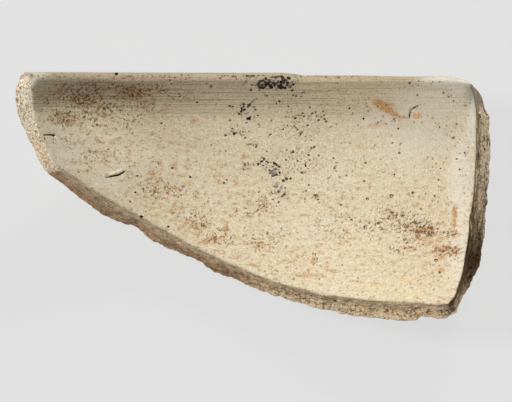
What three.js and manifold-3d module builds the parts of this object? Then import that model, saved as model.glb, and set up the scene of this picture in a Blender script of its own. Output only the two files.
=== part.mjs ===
// Rim sherd of a wheel-thrown buff bowl with an incurved rim, lying on its convex back, hollow up.
// Lengths are in millimetres. The shapes are worked out in the whole vessel's own frame: its axis
// is the Y axis, its rim is at Y = 0 with the wall below, and this side of the wall is at -Z.
import * as THREE from "three";
import { ImprovedNoise } from "three/addons/math/ImprovedNoise.js";
import { mergeVertices } from "three/addons/utils/BufferGeometryUtils.js";
import Module from "manifold-3d";

// Driving dimensions of the fragment
const sherdWidth = 166.6;
const sherdHeight = 87;
const wallThickness = 8;
const slipThickness = 0.7;
const seatGap = 0.3;

// The vessel's profile: a long body arc that meets a tighter shoulder arc under the lip
const halfArcOfWall = THREE.MathUtils.degToRad(39.2);
const bodyArcRadius = 92;
const shoulderArcRadius = 26;
const widestBelowRim = 25;
const shoulderBelowRim = 17.5;
const lipInnerRound = 2.1;
const lipOuterRound = 3;

// How the fragment lies: turned from square to the vessel's axis until it balances on its back
const restPitch = THREE.MathUtils.degToRad(7.9);
const restRoll = THREE.MathUtils.degToRad(5.3);
const wearFlatDepth = 0.3;

// Roughness of the broken edges
const breakRoughness = 0.45;
const breakGrain = 5.5;

// Half sizes and depths of the larger voids, the spall round the pellet and the deposits
const voidRadius = 1;
const voidDepth = 1.1;
const spallRadius = 3;
const spallDepth = 0.9;
const pelletHalfLength = 1.75;
const pelletHalfWidth = 1.3;
const pelletHalfThickness = 0.75;
const crustRise = 0.35;
const crustSink = 0.25;
const rimCrustHalfLength = 6.4;
const rimCrustHalfWidth = 2.5;
const crustHalfLength = 1.9;
const crustHalfWidth = 1.2;
const scabWanderShare = 0.5;
const gritRadius = 0.95;
const gritLengthShare = 1.25;
const gritRoughnessShare = 0.22;
const gritBuryShare = 0.2;

// How finely the surfaces are divided
const columnCount = 46;
const rowCount = 12;
const lipRows = 5;
const breakBands = 8;
const voidSides = 8;
const scabSpokes = 14;
const scabRings = 3;
const rowCrowding = 1.3;
const mergeTolerance = 0.0001;

// Profile values worked out from the driving dimensions
const greatestRadius = sherdWidth / 2 / Math.sin(halfArcOfWall) - wallThickness;
const bodyCentreRadius = greatestRadius - bodyArcRadius;
const shoulderAngle = Math.asin((widestBelowRim - shoulderBelowRim) / bodyArcRadius);
const centreShift = bodyArcRadius - shoulderArcRadius;
const shoulderCentreRadius = bodyCentreRadius + centreShift * Math.cos(shoulderAngle);
const shoulderCentreDepth = widestBelowRim - centreShift * Math.sin(shoulderAngle);
const outerShoulderRadius = shoulderArcRadius + wallThickness;
const lipInnerAngle = Math.asin(
  (shoulderCentreDepth - lipInnerRound) / (shoulderArcRadius + lipInnerRound),
);
const lipOuterAngle = Math.asin(
  (shoulderCentreDepth - lipOuterRound) / (outerShoulderRadius - lipOuterRound),
);
const lipInnerCentre =
  shoulderCentreRadius + (shoulderArcRadius + lipInnerRound) * Math.cos(lipInnerAngle);
const lipOuterCentre =
  shoulderCentreRadius + (outerShoulderRadius - lipOuterRound) * Math.cos(lipOuterAngle);
const lipFoot = lipInnerRound + lipInnerRound * Math.sin(lipInnerAngle);
const slipDepthShare = slipThickness / wallThickness;
const coreDepthShare = (slipThickness + seatGap) / wallThickness;

// Outline of the fragment as shares: of the width from its middle, of the height below the rim
const rimFallShares = [
  [-0.5, 0], [0.066, 0], [0.108, 0.011], [0.224, 0.012], [0.308, 0.016],
  [0.392, 0.017], [0.413, 0.02], [0.434, 0.026], [0.449, 0.032], [0.5, 0.046],
];
const innerLeftShares = [
  [-0.465, 0.038], [-0.463, 0.093], [-0.459, 0.145], [-0.451, 0.213],
  [-0.442, 0.266], [-0.43, 0.318], [-0.415, 0.366], [-0.404, 0.39],
];
const innerBottomShares = [
  [-0.404, 0.39], [-0.379, 0.419], [-0.343, 0.467], [-0.301, 0.515], [-0.259, 0.559],
  [-0.217, 0.604], [-0.175, 0.648], [-0.133, 0.692], [-0.091, 0.732], [-0.049, 0.771],
  [-0.007, 0.805], [0.035, 0.837], [0.077, 0.863], [0.119, 0.879], [0.161, 0.897],
  [0.203, 0.909], [0.245, 0.918], [0.287, 0.922], [0.329, 0.926], [0.371, 0.932],
  [0.407, 0.93],
];
const innerRightShares = [
  [0.456, 0.07], [0.461, 0.105], [0.464, 0.145], [0.466, 0.201], [0.467, 0.274],
  [0.466, 0.354], [0.463, 0.435], [0.459, 0.495], [0.455, 0.547], [0.452, 0.596],
  [0.449, 0.656], [0.442, 0.74], [0.436, 0.797], [0.428, 0.857], [0.419, 0.901],
  [0.407, 0.93],
];
const outerLeftShares = [
  [-0.488, 0.024], [-0.497, 0.06], [-0.5, 0.097], [-0.5, 0.133], [-0.495, 0.173],
  [-0.484, 0.221], [-0.476, 0.262], [-0.465, 0.298], [-0.455, 0.346], [-0.438, 0.398],
];
const outerBottomShares = [
  [-0.438, 0.398], [-0.417, 0.427], [-0.381, 0.483], [-0.348, 0.531], [-0.314, 0.575],
  [-0.28, 0.608], [-0.255, 0.62], [-0.238, 0.64], [-0.217, 0.672], [-0.196, 0.692],
  [-0.146, 0.74], [-0.121, 0.761], [-0.096, 0.789], [-0.062, 0.821], [-0.028, 0.845],
  [0.022, 0.889], [0.072, 0.918], [0.102, 0.934], [0.136, 0.954], [0.169, 0.958],
  [0.19, 0.974], [0.245, 0.986], [0.283, 0.994], [0.316, 1], [0.341, 1],
  [0.35, 0.99], [0.371, 0.986], [0.398, 0.99], [0.417, 0.962],
];
const outerRightShares = [
  [0.463, 0.052], [0.474, 0.089], [0.482, 0.129], [0.496, 0.189], [0.495, 0.213],
  [0.499, 0.274], [0.5, 0.322], [0.493, 0.37], [0.495, 0.406], [0.491, 0.495],
  [0.488, 0.555], [0.483, 0.644], [0.475, 0.724], [0.467, 0.797], [0.449, 0.861],
  [0.434, 0.909], [0.417, 0.962],
];

// The break runs steeply down from the inside for the first share of the wall, then flares out
const steepDepthShare = 0.66;
const steepReachShare = 0.5;

// Places on the inside, in the same shares as the outline, each with a share of the full size
const voidShares = [
  [0.421, 0.266, 1], [0.383, 0.759, 0.9], [0.291, 0.499, 1], [0.336, 0.487, 0.9],
  [-0.236, 0.584, 0.85], [-0.255, 0.247, 0.8], [0.138, 0.336, 0.8], [-0.062, 0.447, 0.7],
  [0.297, 0.412, 0.75], [0.203, 0.145, 0.7], [-0.18, 0.624, 0.7], [0.171, 0.39, 0.8],
];
const pelletShares = [0.343, 0.173];
const rimCrustShares = [0.047, 0.04];
const crustShares = [
  [-0.022, 0.141, 0.85], [0.042, 0.402, 1], [0.016, 0.362, 0.9], [0.066, 0.463, 0.95],
];
const surfaceGritShares = [
  [-0.209, 0.475, 0.7], [0.235, 0.57, 0.65], [-0.33, 0.21, 0.6], [0.1, 0.24, 0.65],
];

// Grit in the broken edges: share along the edge, share of the wall's depth, share of full size
const leftGritShares = [[0.2, 0.45, 0.8], [0.42, 0.7, 1], [0.63, 0.4, 0.9], [0.84, 0.62, 0.8]];
const bottomGritShares = [
  [0.07, 0.5, 0.9], [0.17, 0.72, 1.1], [0.28, 0.42, 0.8], [0.39, 0.66, 1],
  [0.5, 0.5, 0.9], [0.61, 0.74, 1.1], [0.73, 0.45, 0.9], [0.85, 0.68, 1.1],
];
const rightGritShares = [[0.2, 0.55, 1], [0.38, 0.72, 0.8], [0.57, 0.46, 1], [0.8, 0.66, 0.9]];

const wasm = await Module();
wasm.setup();
const noise = new ImprovedNoise();

// How far the rim line has been worn down at a place across the fragment
function rimFallAt(x) {
  const share = x / sherdWidth;
  let k = 0;
  while (k < rimFallShares.length - 2 && rimFallShares[k + 1][0] < share) {
    k += 1;
  }
  const [fromX, fromFall] = rimFallShares[k];
  const [toX, toFall] = rimFallShares[k + 1];
  const along = THREE.MathUtils.clamp((share - fromX) / (toX - fromX), 0, 1);
  return sherdHeight * THREE.MathUtils.lerp(fromFall, toFall, along);
}

// Distance of the wall from the vessel's axis, at a depth into the wall and a drop below the rim
function radiusAt(below, depth) {
  const jointBelow = widestBelowRim - (bodyArcRadius + depth) * Math.sin(shoulderAngle);
  if (below < jointBelow) {
    const rise = shoulderCentreDepth - below;
    return shoulderCentreRadius + Math.sqrt((shoulderArcRadius + depth) ** 2 - rise ** 2);
  }
  return bodyCentreRadius + Math.sqrt((bodyArcRadius + depth) ** 2 - (below - widestBelowRim) ** 2);
}

// The worn rim lowers the lip in full, and the wall under it less and less towards the bottom
function heightAt(x, below) {
  const past = Math.max(0, below - lipFoot) / (sherdHeight - lipFoot);
  return -below - rimFallAt(x) * (1 - past);
}

function belowAt(x, height) {
  const fall = rimFallAt(x);
  if (-height - fall < lipFoot) {
    return -height - fall;
  }
  const reach = sherdHeight - lipFoot;
  return (-height - fall * (1 + lipFoot / reach)) / (1 - fall / reach);
}

// A point of the vessel wall from its place across, its drop below the rim and its radius
function vesselPoint(x, below, radius) {
  return new THREE.Vector3(x, heightAt(x, below), -Math.sqrt(radius ** 2 - x ** 2));
}

function outlineCurve(shares) {
  const points = shares.map(([x, y]) => new THREE.Vector3(x * sherdWidth, -y * sherdHeight, 0));
  return new THREE.CatmullRomCurve3(points, false, "centripetal");
}

const edges = {
  left: [outlineCurve(innerLeftShares), outlineCurve(outerLeftShares)],
  bottom: [outlineCurve(innerBottomShares), outlineCurve(outerBottomShares)],
  right: [outlineCurve(innerRightShares), outlineCurve(outerRightShares)],
};

// How far out across the break a share of the wall's depth lies
function reachOf(depthShare) {
  if (depthShare < steepDepthShare) {
    return (depthShare / steepDepthShare) * steepReachShare;
  }
  const flare = (depthShare - steepDepthShare) / (1 - steepDepthShare);
  return steepReachShare + flare * (1 - steepReachShare);
}

// A point on a broken edge seen square to the axis, with its roughness fading at both corners
function edgePoint(side, along, depthShare) {
  const [inner, outer] = edges[side];
  const from = inner.getPointAt(along);
  const to = outer.getPointAt(along);
  const point = from.clone().lerp(to, reachOf(depthShare));
  const across = to.clone().sub(from).normalize();
  const depth = depthShare * wallThickness;
  const rough = noise.noise(point.x / breakGrain, point.y / breakGrain, depth / breakGrain);
  const fade = Math.sin(Math.PI * depthShare) * Math.sin(Math.PI * along);
  return point.addScaledVector(across, rough * fade * 2 * breakRoughness);
}

// The wall's surface at one depth, spread between its four edges; share 0 to 1 each way
function sheetPoint(across, down, depthShare) {
  const depth = depthShare * wallThickness;
  const drop = down ** rowCrowding;
  const foot = lipFootAt(depthShare);
  const leftTop = edgePoint("left", 0, depthShare);
  const rightTop = edgePoint("right", 0, depthShare);
  const x = THREE.MathUtils.lerp(leftTop.x, rightTop.x, across);
  const top = new THREE.Vector3(x, -foot - rimFallAt(x), 0);
  const bottom = edgePoint("bottom", across, depthShare);
  const left = edgePoint("left", drop, depthShare);
  const right = edgePoint("right", drop, depthShare);
  const leftCorner = new THREE.Vector3(leftTop.x, -foot - rimFallAt(leftTop.x), 0);
  const rightCorner = new THREE.Vector3(rightTop.x, -foot - rimFallAt(rightTop.x), 0);
  left.y += (leftCorner.y - leftTop.y) * (1 - drop);
  right.y += (rightCorner.y - rightTop.y) * (1 - drop);
  const leftFoot = edgePoint("left", 1, depthShare);
  const rightFoot = edgePoint("right", 1, depthShare);
  const point = new THREE.Vector3();
  point.addScaledVector(top, 1 - drop).addScaledVector(bottom, drop);
  point.addScaledVector(left, 1 - across).addScaledVector(right, across);
  point.addScaledVector(leftCorner, -(1 - across) * (1 - drop));
  point.addScaledVector(rightCorner, -across * (1 - drop));
  point.addScaledVector(leftFoot, -(1 - across) * drop);
  point.addScaledVector(rightFoot, -across * drop);
  const below = belowAt(point.x, point.y);
  return vesselPoint(point.x, below, radiusAt(below, depth));
}

// The drop below the rim at which a sheet at this depth hands over to the lip
function lipFootAt(depthShare) {
  const depth = Math.min(depthShare, coreDepthShare) * wallThickness;
  const innerFoot = lipInnerRound + (lipInnerRound - depth) * Math.sin(lipInnerAngle);
  const outerFoot = lipOuterRound - lipOuterRound * Math.sin(lipOuterAngle);
  const past = Math.max(0, depthShare - coreDepthShare) / (1 - coreDepthShare);
  return THREE.MathUtils.lerp(innerFoot, outerFoot, past);
}

// Radius and drop on the inner corner of the lip; share 0 is its top, share 1 its foot
function lipInnerProfile(depth, share) {
  const angle = Math.PI / 2 + share * (Math.PI / 2 + lipInnerAngle);
  const round = lipInnerRound - depth;
  return [lipInnerCentre + round * Math.cos(angle), lipInnerRound - round * Math.sin(angle)];
}

// Radius and drop on the outer corner of the lip; share 0 is its top, share 1 its foot
function lipOuterProfile(share) {
  const angle = THREE.MathUtils.lerp(Math.PI / 2, lipOuterAngle, share);
  return [
    lipOuterCentre + lipOuterRound * Math.cos(angle),
    lipOuterRound - lipOuterRound * Math.sin(angle),
  ];
}

// A point of the lip: a place across the rim, a radius and drop, and how far out the ends reach
function lipPoint(across, [radius, below], depthShare) {
  const left = edgePoint("left", 0, depthShare).x;
  const right = edgePoint("right", 0, depthShare).x;
  const x = THREE.MathUtils.lerp(left, right, across);
  return vesselPoint(x, below, radius);
}

// Adds two triangles for each cell of a grid of points
function addPatch(triangles, columns, rows, pointAt, flipped) {
  const grid = Array.from({ length: columns + 1 }, (_, i) =>
    Array.from({ length: rows + 1 }, (_, j) => pointAt(i, j)),
  );
  for (let i = 0; i < columns; i += 1) {
    for (let j = 0; j < rows; j += 1) {
      const [a, b, c, d] = [grid[i][j], grid[i + 1][j], grid[i + 1][j + 1], grid[i][j + 1]];
      triangles.push(flipped ? [a, b, c] : [a, c, b]);
      triangles.push(flipped ? [a, c, d] : [a, d, c]);
    }
  }
}

// Merges triangles into one geometry, without those that a pole has drawn to a line
function closedGeometry(triangles) {
  const whole = triangles.filter(
    ([a, b, c]) =>
      a.distanceTo(b) > mergeTolerance &&
      b.distanceTo(c) > mergeTolerance &&
      c.distanceTo(a) > mergeTolerance,
  );
  return mergeVertices(new THREE.BufferGeometry().setFromPoints(whole.flat()), mergeTolerance);
}

// The cream slip: one thin sheet from the top of the lip down the inside to the broken edges
function slipGeometry() {
  const rows = lipRows + rowCount;
  const skin = (depthShare) => (i, j) => {
    if (j >= lipRows) {
      return sheetPoint(i / columnCount, (j - lipRows) / rowCount, depthShare);
    }
    const depth = depthShare * wallThickness;
    const bend = (j - 1) / (lipRows - 1);
    const profile = j === 0 ? [lipOuterCentre, depth] : lipInnerProfile(depth, bend);
    return lipPoint(i / columnCount, profile, depthShare);
  };
  const front = skin(0);
  const back = skin(slipDepthShare);
  const triangles = [];
  addPatch(triangles, columnCount, rows, front, false);
  addPatch(triangles, columnCount, rows, back, true);
  addPatch(triangles, columnCount, 1, (i, k) => (k === 0 ? front(i, 0) : back(i, 0)), true);
  addPatch(triangles, columnCount, 1, (i, k) => (k === 0 ? front(i, rows) : back(i, rows)), false);
  addPatch(triangles, rows, 1, (j, k) => (k === 0 ? front(0, j) : back(0, j)), false);
  addPatch(
    triangles,
    rows,
    1,
    (j, k) => (k === 0 ? front(columnCount, j) : back(columnCount, j)),
    true,
  );
  return closedGeometry(triangles);
}

// The lip of the wall behind the slip: it rises to the full height again where the slip ends
function coreLipPath() {
  const depth = slipThickness + seatGap;
  const corner = breakBands / 2 - 1;
  const inner = Array.from({ length: corner + 1 }, (_, k) => lipInnerProfile(depth, 1 - k / corner));
  const outer = Array.from({ length: corner }, (_, k) => lipOuterProfile((k + 1) / corner));
  const step = lipOuterCentre + seatGap;
  return [...inner, [step, depth], [step, 0], ...outer];
}

// The fired clay wall with its inside, outside, lip and three broken edges
function coreGeometry() {
  const path = coreLipPath();
  const bands = path.length - 1;
  const front = (i, j) => sheetPoint(i / columnCount, j / rowCount, coreDepthShare);
  const back = (i, j) => sheetPoint(i / columnCount, j / rowCount, 1);
  const shareAt = (k) => THREE.MathUtils.lerp(coreDepthShare, 1, k / bands);
  const lip = (across, k) => {
    if (k === 0) return sheetPoint(across, 0, coreDepthShare);
    if (k === bands) return sheetPoint(across, 0, 1);
    return lipPoint(across, path[k], shareAt(k));
  };
  const end = (across) => (j, k) =>
    j === 0 ? lip(across, k) : sheetPoint(across, j / rowCount, shareAt(k));
  const foot = (i, k) => sheetPoint(i / columnCount, 1, shareAt(k));
  const triangles = [];
  addPatch(triangles, columnCount, rowCount, front, false);
  addPatch(triangles, columnCount, rowCount, back, true);
  addPatch(triangles, columnCount, bands, (i, k) => lip(i / columnCount, k), true);
  addPatch(triangles, columnCount, bands, foot, false);
  addPatch(triangles, rowCount, bands, end(0), false);
  addPatch(triangles, rowCount, bands, end(1), true);
  return closedGeometry(triangles);
}

// A manifold solid from a closed geometry, moved by a matrix
function solidOf(geometry, matrix = new THREE.Matrix4()) {
  const bare = new THREE.BufferGeometry();
  bare.setAttribute("position", geometry.getAttribute("position").clone());
  bare.setIndex(geometry.getIndex());
  const merged = mergeVertices(bare, mergeTolerance).applyMatrix4(matrix);
  return new wasm.Manifold(
    new wasm.Mesh({
      numProp: 3,
      vertProperties: merged.getAttribute("position").array,
      triVerts: new Uint32Array(merged.getIndex().array),
    }),
  );
}

function geometryOf(solid) {
  const mesh = solid.getMesh();
  const geometry = new THREE.BufferGeometry();
  geometry.setAttribute("position", new THREE.BufferAttribute(mesh.vertProperties, 3));
  geometry.setIndex(new THREE.BufferAttribute(mesh.triVerts, 1));
  return geometry;
}

// Distance along the inside profile, from the top of the lip, of a drop below the rim
const lipLength = lipInnerRound * (Math.PI / 2 + lipInnerAngle);
const shoulderLength = shoulderArcRadius * (lipInnerAngle - shoulderAngle);

function profileLengthAt(below) {
  if (below < lipFoot) {
    return lipInnerRound * Math.acos(1 - below / lipInnerRound);
  }
  if (below < shoulderBelowRim) {
    const angle = Math.asin((shoulderCentreDepth - below) / shoulderArcRadius);
    return lipLength + shoulderArcRadius * (lipInnerAngle - angle);
  }
  const angle = Math.asin((widestBelowRim - below) / bodyArcRadius);
  return lipLength + shoulderLength + bodyArcRadius * (shoulderAngle - angle);
}

// Radius, drop and upward tilt of the inside at a distance along its profile and a depth
function insideProfile(length, depth) {
  if (length < lipLength) {
    const turn = Math.PI / 2 + length / lipInnerRound;
    const round = lipInnerRound - depth;
    return {
      radius: lipInnerCentre + round * Math.cos(turn),
      below: lipInnerRound - round * Math.sin(turn),
      tilt: turn - Math.PI,
    };
  }
  const past = length - lipLength;
  if (past < shoulderLength) {
    const angle = lipInnerAngle - past / shoulderArcRadius;
    return {
      radius: shoulderCentreRadius + (shoulderArcRadius + depth) * Math.cos(angle),
      below: shoulderCentreDepth - (shoulderArcRadius + depth) * Math.sin(angle),
      tilt: angle,
    };
  }
  const angle = shoulderAngle - (past - shoulderLength) / bodyArcRadius;
  return {
    radius: bodyCentreRadius + (bodyArcRadius + depth) * Math.cos(angle),
    below: widestBelowRim - (bodyArcRadius + depth) * Math.sin(angle),
    tilt: angle,
  };
}

// A point of the inside skin: a place across, a distance down the profile and a depth
function skinPoint(x, length, depth) {
  const skin = insideProfile(length, 0);
  const turn = Math.asin(x / skin.radius);
  const { radius, below } = insideProfile(length, depth);
  return vesselPoint(radius * Math.sin(turn), below, radius);
}

// The frame of the skin at a place: X along the wheel marks, Z square out of the wall
function skinFrame([xShare, heightShare]) {
  const x = xShare * sherdWidth;
  const length = profileLengthAt(belowAt(x, -heightShare * sherdHeight));
  const { radius, tilt } = insideProfile(length, 0);
  const turn = Math.asin(x / radius);
  const round = new THREE.Vector3(Math.cos(turn), 0, Math.sin(turn));
  const out = new THREE.Vector3(
    -Math.cos(tilt) * Math.sin(turn),
    -Math.sin(tilt),
    Math.cos(tilt) * Math.cos(turn),
  );
  const up = out.clone().cross(round);
  const matrix = new THREE.Matrix4().makeBasis(round, up, out);
  return matrix.setPosition(skinPoint(x, length, 0));
}

// A unit lump of grit: a faceted ball pushed in and out at random
function lumpGeometry(seed) {
  const lump = mergeVertices(bareGeometry(new THREE.IcosahedronGeometry(1, 1)), mergeTolerance);
  const places = lump.getAttribute("position");
  const corner = new THREE.Vector3();
  for (let k = 0; k < places.count; k += 1) {
    corner.fromBufferAttribute(places, k);
    const push = noise.noise(corner.x + seed, corner.y - seed, corner.z + seed / 2);
    corner.multiplyScalar(1 + gritRoughnessShare * push * 2);
    places.setXYZ(k, corner.x, corner.y, corner.z);
  }
  return lump;
}

function bareGeometry(geometry) {
  geometry.deleteAttribute("normal");
  geometry.deleteAttribute("uv");
  return geometry;
}

// A thin scab of deposit that follows the skin, with a wandering outline, or its seat in the slip
function scabGeometry([xShare, heightShare], halfLength, halfWidth, clearance, seed) {
  const centreX = xShare * sherdWidth;
  const centreLength = profileLengthAt(belowAt(centreX, -heightShare * sherdHeight));
  const spread = (ring, spoke) => {
    const angle = (2 * Math.PI * (spoke % scabSpokes)) / scabSpokes;
    const wander = noise.noise(Math.cos(angle) + seed, Math.sin(angle) + seed, seed / 2);
    const share = (ring / scabRings) * (1 + scabWanderShare * wander);
    return [share * Math.cos(angle), share * Math.sin(angle)];
  };
  const face = (depth) => (spoke, ring) => {
    const [across, down] = spread(ring, spoke);
    const dome = Math.sqrt(1 - (ring / scabRings) ** 2);
    const x = centreX + across * (halfLength + clearance);
    return skinPoint(x, centreLength + down * (halfWidth + clearance), depth * dome);
  };
  const triangles = [];
  addPatch(triangles, scabSpokes, scabRings, face(-crustRise - clearance), true);
  addPatch(triangles, scabSpokes, scabRings, face(crustSink + clearance), false);
  return closedGeometry(triangles);
}

// A round-ended hollow left in the skin by a burnt-out or fallen grain
function voidCutter(shares, halfWidth, depth) {
  const ball = bareGeometry(new THREE.SphereGeometry(1, voidSides, voidSides / 2));
  return solidOf(ball.scale(halfWidth, halfWidth, depth), skinFrame(shares));
}

// A lump of grit with its seat: the seat is the same lump with the clearance all round it
function seatedLump(name, matrix, [halfX, halfY, halfZ], material, seed) {
  const mesh = new THREE.Mesh(lumpGeometry(seed).scale(halfX, halfY, halfZ), material);
  mesh.name = name;
  mesh.applyMatrix4(matrix);
  const seat = lumpGeometry(seed).scale(halfX + seatGap, halfY + seatGap, halfZ + seatGap);
  return { mesh, seat: solidOf(seat, matrix) };
}

// A piece of crust with its seat in the slip
function seatedScab(name, shares, halfLength, halfWidth, seed) {
  const geometry = scabGeometry(shares, halfLength, halfWidth, 0, seed);
  const mesh = new THREE.Mesh(geometry, crustMaterial);
  mesh.name = name;
  return { mesh, seat: solidOf(scabGeometry(shares, halfLength, halfWidth, seatGap, seed)) };
}

function numbered(name, index) {
  return `${name}_${String(index + 1).padStart(2, "0")}`;
}

function finish(color, roughness) {
  return new THREE.MeshStandardMaterial({ color, roughness, metalness: 0 });
}

const clayMaterial = finish(0xb79a76, 0.95);
const slipMaterial = finish(0xdccdb0, 0.8);
const crustMaterial = finish(0x3f3531, 0.9);
const pelletMaterial = finish(0xb87a45, 0.85);
const gritMaterials = [finish(0x8a7866, 0.8), finish(0xcdbd9f, 0.75), finish(0x6b5546, 0.85)];

// Black deposit on the rim and in smaller flecks down the inside
function crustPieces() {
  const rim = seatedScab("rim_crust", rimCrustShares, rimCrustHalfLength, rimCrustHalfWidth, 1);
  const flecks = crustShares.map(([x, height, size], k) => {
    const halfLength = crustHalfLength * size;
    return seatedScab(numbered("crust_fleck", k), [x, height], halfLength, crustHalfWidth * size, k + 2);
  });
  return [rim, ...flecks];
}

// The ironstone pellet in the middle of the spall that it burst from the skin
function pelletPiece() {
  const halves = [pelletHalfLength, pelletHalfWidth, pelletHalfThickness];
  return seatedLump("ironstone_pellet", skinFrame(pelletShares), halves, pelletMaterial, 3);
}

// A grain of grit that shows in the inside skin or in a broken edge, half of it in the clay
function gritPiece(index, matrix, size) {
  const radius = gritRadius * size;
  const halves = [radius * gritLengthShare, radius, radius];
  const material = gritMaterials[index % gritMaterials.length];
  return seatedLump(numbered("grit_grain", index), matrix, halves, material, index + 5);
}

function brokenEdgePlaces() {
  const place = (point, inward, size, index) => {
    const buried = point.addScaledVector(inward, gritBuryShare * gritRadius * size);
    const turn = new THREE.Euler(index, 2 * index, 3 * index);
    return { matrix: new THREE.Matrix4().makeRotationFromEuler(turn).setPosition(buried), size };
  };
  const right = new THREE.Vector3(1, 0, 0);
  const up = new THREE.Vector3(0, 1, 0);
  return [
    ...leftGritShares.map(([along, depth, size], k) =>
      place(sheetPoint(0, along, depth), right, size, k + 1),
    ),
    ...bottomGritShares.map(([along, depth, size], k) =>
      place(sheetPoint(along, 1, depth), up, size, k + 2),
    ),
    ...rightGritShares.map(([along, depth, size], k) =>
      place(sheetPoint(1, along, depth), right.clone().negate(), size, k + 3),
    ),
  ];
}

function gritPieces() {
  const inSkin = surfaceGritShares.map(([x, height, size]) => ({
    matrix: skinFrame([x, height]),
    size,
  }));
  const places = [...inSkin, ...brokenEdgePlaces()];
  return places.map(({ matrix, size }, k) => gritPiece(k, matrix, size));
}

// Cuts seats and voids out of a solid
function cutAll(solid, cutters) {
  return cutters.reduce((rest, cutter) => rest.subtract(cutter), solid);
}

// The small flat that wear leaves on the back where the fragment lies
function wearFlat(core, lie) {
  const places = core.clone().applyMatrix4(lie).getAttribute("position");
  const reach = new THREE.Box3().setFromBufferAttribute(places);
  const height = reach.min.z + wearFlatDepth;
  const side = 2 * sherdWidth;
  const block = bareGeometry(new THREE.BoxGeometry(side, side, side));
  block.translate(0, 0, height - side / 2);
  return { height, cutter: solidOf(block, lie.clone().invert()) };
}

function namedMesh(name, solid, material) {
  const mesh = new THREE.Mesh(geometryOf(solid), material);
  mesh.name = name;
  return mesh;
}

const lie = new THREE.Matrix4().makeRotationFromEuler(new THREE.Euler(restPitch, restRoll, 0));
const clay = coreGeometry();
const flat = wearFlat(clay, lie);
const crusts = crustPieces();
const lumps = [pelletPiece(), ...gritPieces()];
const spall = voidCutter(pelletShares, spallRadius, spallDepth);
const voids = voidShares.map(([x, height, size]) =>
  voidCutter([x, height], voidRadius * size, voidDepth * size),
);
const lumpSeats = lumps.map(({ seat }) => seat);
const coreSolid = cutAll(solidOf(clay), [flat.cutter, spall, ...voids, ...lumpSeats]);
const crustSeats = crusts.map(({ seat }) => seat);
const slipSolid = cutAll(solidOf(slipGeometry()), [spall, ...voids, ...lumpSeats, ...crustSeats]);

const sherd = new THREE.Group();
sherd.add(namedMesh("clay_wall", coreSolid, clayMaterial));
sherd.add(namedMesh("inner_slip", slipSolid, slipMaterial));
sherd.add(...crusts.map(({ mesh }) => mesh), ...lumps.map(({ mesh }) => mesh));
sherd.applyMatrix4(lie);

// The origin is under the middle of the fragment, on the surface that it lies on
const reach = new THREE.Box3().setFromObject(sherd, true);
const middle = reach.getCenter(new THREE.Vector3());
sherd.position.set(-middle.x, -middle.y, -flat.height);

const part = new THREE.Group();
part.add(sherd);

export default part;
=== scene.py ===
import math

import bmesh
import bpy
import numpy as np
from mathutils import Matrix, Vector, noise


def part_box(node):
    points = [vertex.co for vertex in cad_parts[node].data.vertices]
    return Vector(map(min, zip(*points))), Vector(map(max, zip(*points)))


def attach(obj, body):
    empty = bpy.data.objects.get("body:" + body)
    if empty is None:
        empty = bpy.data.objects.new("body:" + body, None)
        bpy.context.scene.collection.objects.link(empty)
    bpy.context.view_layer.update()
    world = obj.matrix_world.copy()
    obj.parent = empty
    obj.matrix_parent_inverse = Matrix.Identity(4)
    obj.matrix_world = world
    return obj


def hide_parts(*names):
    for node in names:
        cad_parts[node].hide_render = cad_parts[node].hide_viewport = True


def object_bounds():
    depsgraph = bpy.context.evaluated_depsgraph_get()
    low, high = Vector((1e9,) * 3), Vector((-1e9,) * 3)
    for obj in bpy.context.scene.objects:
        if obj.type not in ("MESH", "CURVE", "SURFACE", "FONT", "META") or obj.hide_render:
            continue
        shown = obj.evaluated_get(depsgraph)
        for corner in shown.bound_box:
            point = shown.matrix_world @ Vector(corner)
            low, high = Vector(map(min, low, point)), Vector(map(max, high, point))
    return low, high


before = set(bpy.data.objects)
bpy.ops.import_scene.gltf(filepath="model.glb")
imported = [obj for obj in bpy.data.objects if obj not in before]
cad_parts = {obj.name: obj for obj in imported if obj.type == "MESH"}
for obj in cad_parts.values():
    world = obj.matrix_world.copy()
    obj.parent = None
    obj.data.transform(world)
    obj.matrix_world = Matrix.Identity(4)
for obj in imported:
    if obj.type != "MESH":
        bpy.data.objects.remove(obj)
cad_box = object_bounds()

# The fired clay wall: a fragment of a wheel-thrown buff bowl with an incurved rim, sandy and
# unglazed, broken on three sides. It carries the slip, the crust and every grain that shows.
# Its shape is worked out in the whole vessel's frame, whose axis is Y with the rim at Y = 0.
sherd_width = 0.1666
sherd_height = 0.087
wall_thickness = 0.008
half_arc_of_wall = math.radians(39.2)
body_arc_radius = 0.092
shoulder_arc_radius = 0.026
widest_below_rim = 0.025
shoulder_below_rim = 0.0175
lip_inner_round = 0.0021
lip_outer_round = 0.003
lip_blend_reach = 0.009

greatest_radius = sherd_width / 2 / math.sin(half_arc_of_wall) - wall_thickness
body_centre_radius = greatest_radius - body_arc_radius
shoulder_angle = math.asin((widest_below_rim - shoulder_below_rim) / body_arc_radius)
centre_shift = body_arc_radius - shoulder_arc_radius
shoulder_centre_radius = body_centre_radius + centre_shift * math.cos(shoulder_angle)
shoulder_centre_depth = widest_below_rim - centre_shift * math.sin(shoulder_angle)
outer_shoulder_radius = shoulder_arc_radius + wall_thickness
lip_inner_angle = math.asin(
    (shoulder_centre_depth - lip_inner_round) / (shoulder_arc_radius + lip_inner_round)
)
lip_outer_angle = math.asin(
    (shoulder_centre_depth - lip_outer_round) / (outer_shoulder_radius - lip_outer_round)
)
lip_inner_centre = shoulder_centre_radius + (
    (shoulder_arc_radius + lip_inner_round) * math.cos(lip_inner_angle)
)
lip_outer_centre = shoulder_centre_radius + (
    (outer_shoulder_radius - lip_outer_round) * math.cos(lip_outer_angle)
)
lip_foot = lip_inner_round * (1 + math.sin(lip_inner_angle))

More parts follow.
